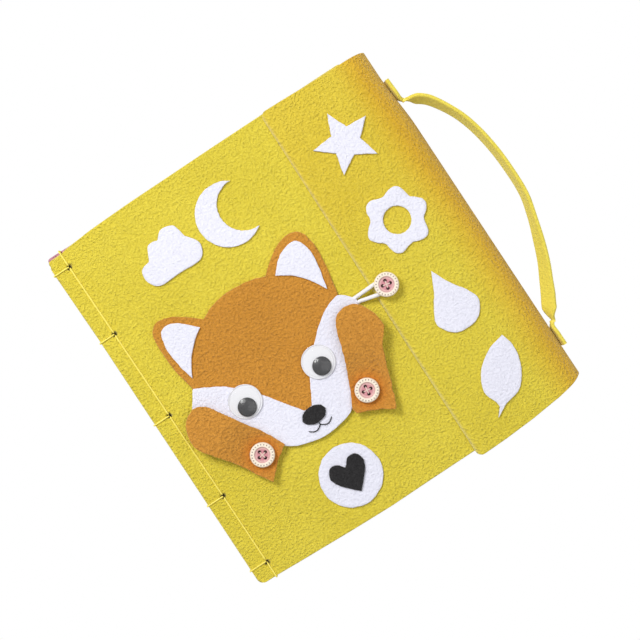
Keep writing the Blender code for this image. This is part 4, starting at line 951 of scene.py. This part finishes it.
def narrow_rings(upper, lower, low, thickness, across=14):
    """Rings of a felt shape between two outlines that run from one tip to the other: each is
    its section from an upper point across to the lower one and back. It lies on the swell."""
    gap = np.hypot(*(lower - upper).T)[:, None]
    lead = np.minimum(RIM * (1 - np.array(RIM_INSETS)) / gap, (0.0, 0.1, 0.2))
    inner = lead[:, 2:] + (1 - 2 * lead[:, 2:]) * np.linspace(0, 1, across)[None, 1:-1]
    share = np.concatenate([lead, inner, 1 - lead[:, ::-1]], axis=1)
    level = np.array([0.45, 0.86, 1.0] + [1.0] * (across - 2) + [1.0, 0.86, 0.45])
    share = np.concatenate([share, share[:, ::-1]], axis=1)[:, :, None]
    level = np.concatenate([-level, level[::-1]])
    flat = upper[:, None, :] * (1 - share) + lower[:, None, :] * share
    levels = np.broadcast_to(level[None, :], flat.shape[:2])
    return laid(flat, levels, low, thickness, 31)


def even(line, count):
    """The same line with its points spaced evenly."""
    run = run_along(line)
    at = np.linspace(0, run[-1], count)
    return np.stack([np.interp(at, run, line[:, k]) for k in range(2)], axis=-1)


muzzle_outline = smooth(MUZZLE_SHARES, (118.4, 67.2), (22.8, 52.8))
MUZZLE_LEFT, MUZZLE_RIGHT = 27 * 8, 14 * 8
muzzle_top = np.concatenate([muzzle_outline[MUZZLE_LEFT:], muzzle_outline[:MUZZLE_RIGHT + 1]])
muzzle_low = muzzle_outline[MUZZLE_RIGHT:MUZZLE_LEFT + 1][::-1]
muzzle_top_x, muzzle_low_x = even(muzzle_top, 150), even(muzzle_low, 150)
muzzle_places, muzzle_edge = narrow_rings(
    ragged(muzzle_top_x, 8, 0.08), ragged(muzzle_low_x, 9, 0.08), ON_HEAD, TRIM_FELT, 36
)
muzzle = skin("muzzle_felt", [muzzle_places], WHITE_FELT, "cover", edge=muzzle_edge)
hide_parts("muzzle")

BLACK_FELT = felt("black_felt", (0.018, 0.017, 0.018), (0.6, 0.6, 0.6), (1.8, 1.8, 1.8))
nose_turn = np.linspace(0, 2 * np.pi, 72, endpoint=False)
nose_outline = np.stack([81.8 + 7.8 * np.cos(nose_turn), 67.2 + 5.2 * np.sin(nose_turn)], axis=-1)
add_shape(
    "nose_felt", nose_outline, (81.8, 67.2), ON_MUZZLE, TRIM_FELT, BLACK_FELT, "cover",
    ["nose"],
)

BLACK_THREAD, _, _ = painted("black_thread", (0.015, 0.015, 0.016), 0.7)
MOUTH_STITCHES = 12
stitch_parts = []
for i in range(MOUTH_STITCHES):
    share = (i + np.linspace(0.06, 0.94, 9)) / MOUTH_STITCHES
    stitch_x = 81.8 + (share * 2 - 1) * 8.1
    stitch_y = 60.4 - 2.1 * np.abs(np.sin(2 * np.pi * share))
    arch = np.sin(np.pi * np.linspace(0, 1, 9))
    stitch_z = ON_MUZZLE - 0.25 + 0.75 * arch + swell(stitch_x, stitch_y)
    stitch_parts.append(
        tube_rings(np.stack([stitch_x, stitch_y, stitch_z], axis=-1), 0.36, 10, twist=1.2)
    )
stem_y = np.linspace(62.4, 59.9, 9)
stem_x = 81.8 + 0 * stem_y
stem_z = ON_MUZZLE - 0.2 + 0.75 * np.sin(np.pi * np.linspace(0, 1, 9)) + swell(stem_x, stem_y)
stitch_parts.append(tube_rings(np.stack([stem_x, stem_y, stem_z], axis=-1), 0.36, 10, twist=1.2))
mouth = skin("mouth_stitches", stitch_parts, BLACK_THREAD, "cover")
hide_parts("mouth_thread")


# Wobbly eyes: a white plastic backing with a clear dome over it, and a loose black disc that
# has slid down inside.

EYE_WHITE, _, _ = painted("eye_white", (0.80, 0.80, 0.83), 0.35)
EYE_BLACK, _, _ = painted("eye_black", (0.012, 0.012, 0.013), 0.25)
EYE_CLEAR, _, clear_shader = painted("eye_clear", (0.92, 0.92, 0.95), 0.06)
clear_shader.inputs["Alpha"].default_value = 0.03


def turned_rings(profile, middle, low, around=72):
    """Rings of a turned piece: each point of a profile of (radius, height) goes round."""
    profile = np.asarray(profile, float)
    turn = np.linspace(0, 2 * np.pi, around, endpoint=False)[None, :]
    x = middle[0] + profile[:, :1] * np.cos(turn)
    y = middle[1] + profile[:, :1] * np.sin(turn)
    z = low + np.broadcast_to(profile[:, 1:], x.shape)
    return np.stack([x, y, z], axis=-1)


dome_turn = np.radians(np.linspace(89.5, 0, 26))
dome_outer = np.stack([9.8 * np.cos(dome_turn), 0.4 + 3.1 * np.sin(dome_turn) ** 0.5], axis=-1)
dome_flange = [(10.25, 0.4), (10.4, 0.3), (10.4, 0.1), (10.3, 0.0), (9.5, 0.0)]
dome_inner = np.stack([9.3 * np.cos(dome_turn), 0.1 + 2.9 * np.sin(dome_turn) ** 0.5], axis=-1)
EYES = [
    ("left", (51.8, 96.4), (-0.7, -3.4), "pupil_left"),
    ("right", (101.4, 92.2), (0.4, -3.2), "pupil_right"),
]
for side, middle, slide, body in EYES:
    seat = ON_MUZZLE + 0.1 + swell(*middle)
    backing_profile = [
        (0.1, 0), (10.1, 0), (10.4, 0.25), (10.4, 0.6), (10.25, 0.8), (9.95, 0.8),
        (9.75, 0.25), (9.3, 0.25), (9.1, 0.8), (0.1, 0.8),
    ]
    backing_rings = turned_rings(backing_profile, middle, seat)
    backing = skin(f"{side}_eye_backing", [backing_rings], EYE_WHITE, "cover")
    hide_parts(f"{side}_eye_back")
    dome_profile = np.concatenate([dome_outer, dome_flange, dome_inner[::-1]])
    dome_rings = turned_rings(dome_profile, middle, seat + 0.95)
    dome = skin(f"{side}_eye_clear", [dome_rings], EYE_CLEAR, "cover")
    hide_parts(f"{side}_eye_dome")
    pupil_profile = [(0.1, 0), (5.6, 0), (5.75, 0.15), (5.75, 0.75), (5.6, 0.9), (0.1, 0.9)]
    disc_middle = (middle[0] + slide[0], middle[1] + slide[1])
    disc_rings = turned_rings(pupil_profile, disc_middle, seat + 0.95)
    disc = skin(f"{side}_eye_disc", [disc_rings], EYE_BLACK, body)
    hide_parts(f"{side}_pupil")


# Paws: two cut-outs of fluffy orange felt, each held by one button through a hole, so that
# they turn up over the eyes. They lie over the eyes' domes and so stand off the cover.

LEFT_BUTTON = np.array((43.2, 64.4))
RIGHT_BUTTON = np.array((116.4, 62.2))
LEFT_PAW_SHARES = [
    (-0.424, 0.9), (-0.304, 0.892), (-0.204, 0.802), (-0.124, 0.672), (0.016, 0.452),
    (0.156, 0.222), (0.296, -0.048, 1), (0.126, -0.158), (-0.072, -0.348, 1),
    (-0.204, -0.128), (-0.354, 0.122), (-0.514, 0.342), (-0.604, 0.492), (-0.608, 0.652),
    (-0.544, 0.812),
]
RIGHT_PAW_SHARES = [
    (-0.268, -0.094, 1), (-0.138, 0.176), (-0.038, 0.416), (0.032, 0.616), (0.082, 0.786),
    (0.162, 0.916), (0.262, 0.972), (0.382, 0.964), (0.502, 0.876), (0.572, 0.726),
    (0.592, 0.556), (0.542, 0.466), (0.452, 0.346), (0.382, 0.176), (0.302, -0.044),
    (0.232, -0.244), (0.172, -0.374, 1), (0.032, -0.292), (-0.128, -0.212), (-0.256, -0.164, 1),
]
PAW_FELT = felt("paw_felt", (0.62, 0.275, 0.037), (0.78, 0.74, 0.66), (1.18, 1.2, 1.4), 0.85)
PAWS = [
    ("left", LEFT_BUTTON, LEFT_PAW_SHARES, "paw_left"),
    ("right", RIGHT_BUTTON, RIGHT_PAW_SHARES, "paw_right"),
]
PAW_SIZE, PAW_HOLE, PAW_SEAT = 50, 5.4, STACK_TOP + 3.3


def paw_low(middle):
    """The height of a paw's underside: low at its button, and up over the eye further out."""

    def height(x, y):
        """Height at points, as a smooth step of their distance from the button."""
        share = np.clip((np.hypot(x - middle[0], y - middle[1]) - 7) / 22, 0, 1)
        return PAW_SEAT + 4.9 * share * share * (3 - 2 * share)

    return height


for side, button, shares, body in PAWS:
    first = np.multiply(shares[0][:2], PAW_SIZE) + button
    closed = np.concatenate([smooth(shares, PAW_SIZE, button), [first]])
    outline = ragged(even(closed, 151)[:-1], 40, 0.14)
    arms = outline - button
    hole = button + arms / np.hypot(arms[:, 0], arms[:, 1])[:, None] * PAW_HOLE
    paw_places, paw_edge = band_rings(hole, outline, paw_low(button), TRIM_FELT, 1.3, 0.1)
    reach = np.hypot(paw_places[..., 0] - button[0], paw_places[..., 1] - button[1])
    # Painted shadow: the paw is painted redder and darker in a ring round its button, for the button's shadow.
    paw_warm = 0.8 * np.exp(-((np.clip(reach - 7, 0, 50) / 5) ** 2))
    paw = skin(f"{side}_paw_felt", [paw_places], PAW_FELT, body, joined=True, edge=paw_edge, warm=paw_warm)
    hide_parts(f"{side}_paw")
    if side == "left":
        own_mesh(paw)


# Buttons: three moulded four-hole buttons with a cream rim and a pink dish, each sewn on
# crosswise with pale thread. Two hold the paws and one the elastic loop.

BUTTON_PLASTIC, button_tree, button_shader = painted("button_plastic", (0.85, 0.62, 0.52), 0.32)
button_dish = button_tree.nodes.new("ShaderNodeAttribute")
button_dish.attribute_name = "dish"
button_ramp = button_tree.nodes.new("ShaderNodeValToRGB")
button_ramp.color_ramp.elements[0].color = (0.90, 0.79, 0.65, 1)
button_ramp.color_ramp.elements[1].color = (0.60, 0.25, 0.28, 1)
button_tree.links.new(button_dish.outputs["Fac"], button_ramp.inputs["Fac"])
button_shade = tinted(button_tree, button_ramp.outputs["Color"], "dash", (0.07, 0.02, 0.015))
button_tree.links.new(button_shade, button_shader.inputs["Base Color"])
WHITE_THREAD, _, _ = painted("white_thread", (0.80, 0.62, 0.54), 0.7)

HOLE_CIRCLE = 2.45


def button_top(x, y, hole_turns):
    """Height of a button's top about its middle: a raised rim round a dish, with four holes."""
    reach = np.hypot(x, y)
    rim = np.clip((reach - 4.2) / 0.9, 0, 1)
    height = 2.2 + 0.8 * rim * rim * (3 - 2 * rim) - 0.9 * np.clip((reach - 6.7) / 0.8, 0, 1) ** 2
    for turn in hole_turns:
        away = np.hypot(x - HOLE_CIRCLE * math.cos(turn), y - HOLE_CIRCLE * math.sin(turn))
        height = height - 2.0 / (1 + (away / 0.88) ** 14)
    return height


# name, middle, underside, body, depth of the stitches, direction of the first hole in degrees
BUTTONS = [
    ("left_paw_button", LEFT_BUTTON, STACK_TOP + 4.8, "cover", STACK_TOP + 0.3, 11.6),
    ("right_paw_button", RIGHT_BUTTON, STACK_TOP + 4.8, "cover", STACK_TOP + 0.3, 82.6),
    ("flap_button", np.array((160.6, 108.4)), FLAP_TOP + 3.1, "button_flap", FLAP_TOP + 0.3, 78.6),
]
top_reach = np.concatenate(
    [np.linspace(0.05, 1.3, 6), np.arange(1.4, 3.55, 0.1), np.linspace(3.7, 7.5, 25)]
)
button_turn = np.linspace(0, 2 * np.pi, 176, endpoint=False)[None, :]
for name, middle, low, body, thread_seat, first_hole in BUTTONS:
    low = low + swell(*middle)
    hole_turns = np.radians(first_hole + 90 * np.arange(4))
    reach = np.concatenate([top_reach, [7.5, 7.3, 6.9, 3.0, 0.1]])[:, None]
    x = reach * np.cos(button_turn)
    y = reach * np.sin(button_turn)
    z = button_top(x, y, hole_turns)
    z[-5:] = np.array([0.9, 0.3, 0.0, 0.0, 0.0])[:, None]
    over = (np.arange(len(reach)) < len(top_reach))[:, None]
    paler = 1 - 0.35 * np.exp(-(((reach - 3.9) / 0.5) ** 2))
    dish = np.clip((4.95 - reach) / 0.5, 0, 1) * paler * over
    ring = np.exp(-(((reach - 6.25) / 0.42) ** 4)) * over
    dash = ring * np.clip(np.cos(22 * button_turn) * 3, 0, 1) * 0.75
    # Painted shade: deep in the four holes the plastic is painted nearly black, in the same tint as the rim's
    # dots.
    deep = np.clip((1.9 - z) * 3 * over, 0, 1) * (reach < 4)
    dash = np.maximum(dash, deep)
    rings = np.stack([x + middle[0], y + middle[1], z + low], axis=-1)
    button = skin(
        f"{name}_moulded", [rings], BUTTON_PLASTIC, body,
        dish=np.broadcast_to(dish, x.shape), dash=np.broadcast_to(dash, x.shape),
    )
    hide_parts(name)
    strands = []
    for turn in hole_turns[:2]:
        for k in (-1, 0, 1):
            start = (HOLE_CIRCLE - 0.35) * np.array((math.cos(turn), math.sin(turn)))
            shift = 0.2 * k * np.array((-math.sin(turn), math.cos(turn)))
            over_height = low + 2.2 + 0.2 + 0.1 * (k == 0)
            corners = [
                (*(middle + start + shift), thread_seat + swell(*middle)),
                (*(middle + start + shift), over_height),
                (*(middle - start + shift), over_height),
                (*(middle - start + shift), thread_seat + swell(*middle)),
            ]
            strands.append(tube_rings(rounded_path(corners, 0.5, 0.15, False), 0.16, 8, twist=0.8))
    stitches = skin(f"{name}_stitches", strands, WHITE_THREAD, body)
    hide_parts(f"{name}_thread")


# Elastic loop: a white braided cord whose two ends are sewn in under the cheek. It runs over
# the flap's edge and round the shank of the flap's button.

ELASTIC, _, _ = painted("white_elastic", (0.86, 0.85, 0.86), 0.75)
LOOP_ROOT = np.array((142.2, 110.4))
LOOP_RUN, LOOP_SHIFT, LOOP_BEND = 18.4, -2.0, 4.2
LOOP_TUCK = 3.5
loop_half = 1.7
loop_along = np.array((0, 0.2, 0.45, 0.72))
loop_rise = 2.7 * np.array((0, 0.45, 0.95, 1))
loop_spread = loop_half + (LOOP_BEND - loop_half) * loop_along
leg = np.stack([LOOP_RUN * loop_along, loop_spread + LOOP_SHIFT * loop_along, loop_rise], axis=-1)
other = leg * (1, -1, 1) + np.stack([0 * loop_along, 2 * LOOP_SHIFT * loop_along, 0 * loop_along], axis=-1)
bend_turn = np.radians(np.linspace(90, -90, 13))
bend_way = np.stack([np.cos(bend_turn), np.sin(bend_turn), 0 * bend_turn], axis=-1)
bend = (LOOP_RUN, LOOP_SHIFT, 2.7) + LOOP_BEND * bend_way
tucked = np.array((-LOOP_TUCK, 0, -0.9))
loop_path = smooth_line(np.concatenate([leg[:1] + tucked, leg, bend, other[::-1], other[:1] + tucked]), 6)
loop_path = loop_path + (*LOOP_ROOT, STACK_TOP + 1.55)
loop_path[:, 2] += swell(loop_path[:, 0], loop_path[:, 1])
loop_rings = tube_rings(loop_path, 1.25, 20, twist=5.0, plies=6, depth=0.12)
loop = skin("elastic_loop_cord", [loop_rings], ELASTIC)
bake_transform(loop)
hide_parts("elastic_loop")


# Badge and shapes on the cover: a round white badge with a black heart below the fox, and a
# white cloud and moon above it, all cut from felt.

BADGE_MIDDLE = (80.2, 24.6)
HEART_SHARES = [
    (0, -0.5, 1), (0.26, -0.24), (0.46, 0.04), (0.5, 0.26), (0.38, 0.46), (0.18, 0.46),
    (0, 0.26, 1), (-0.18, 0.46), (-0.38, 0.46), (-0.5, 0.26), (-0.46, 0.04), (-0.26, -0.24),
]
CLOUD_SHARES = [
    (-0.36, -0.4), (0, -0.4), (0.36, -0.4), (0.5, -0.16), (0.36, 0.1, 1), (0.3, 0.36),
    (0.1, 0.42), (-0.02, 0.3, 1), (-0.2, 0.3), (-0.32, 0.06, 1), (-0.48, 0.0), (-0.5, -0.24),
]
add_shape(
    "badge_felt", round_outline(BADGE_MIDDLE, 19.4, 120), BADGE_MIDDLE, ON_COVER, TRIM_FELT,
    WHITE_FELT, "cover", ["badge"],
)
add_shape(
    "heart_felt", smooth(HEART_SHARES, (23, 22), BADGE_MIDDLE, 6), BADGE_MIDDLE, ON_HEAD, TRIM_FELT,
    BLACK_FELT, "cover", ["badge_heart"],
)
add_shape(
    "cloud_felt", smooth(CLOUD_SHARES, (39, 34), (62, 196)), (62, 195), ON_COVER, TRIM_FELT,
    WHITE_FELT, "cover", ["cover_cloud"],
)

MOON_MIDDLE = np.array((105.0, 196.0))
MOON_RADIUS, BITE_RADIUS, BITE_SHIFT = 20.0, 16.0, 11.0
bite_x = (BITE_SHIFT**2 + MOON_RADIUS**2 - BITE_RADIUS**2) / (2 * BITE_SHIFT)
back_turn = math.acos(bite_x / MOON_RADIUS)
bite_turn = math.acos((bite_x - BITE_SHIFT) / BITE_RADIUS)
moon_share = np.linspace(0.004, 0.996, 100)
back_way = back_turn + (2 * np.pi - 2 * back_turn) * moon_share
bite_way = bite_turn + (2 * np.pi - 2 * bite_turn) * moon_share
moon_back = MOON_MIDDLE + MOON_RADIUS * np.stack([np.cos(back_way), np.sin(back_way)], axis=-1)
bite_round = np.stack([np.cos(bite_way), np.sin(bite_way)], axis=-1)
moon_bite = MOON_MIDDLE + (BITE_SHIFT, 0) + BITE_RADIUS * bite_round
moon_places, moon_edge = narrow_rings(
    ragged(moon_back, 14, 0.08), ragged(moon_bite, 15, 0.08), ON_COVER, TRIM_FELT
)
moon = skin("moon_felt", [moon_places], WHITE_FELT, "cover", edge=moon_edge)
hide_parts("cover_moon")
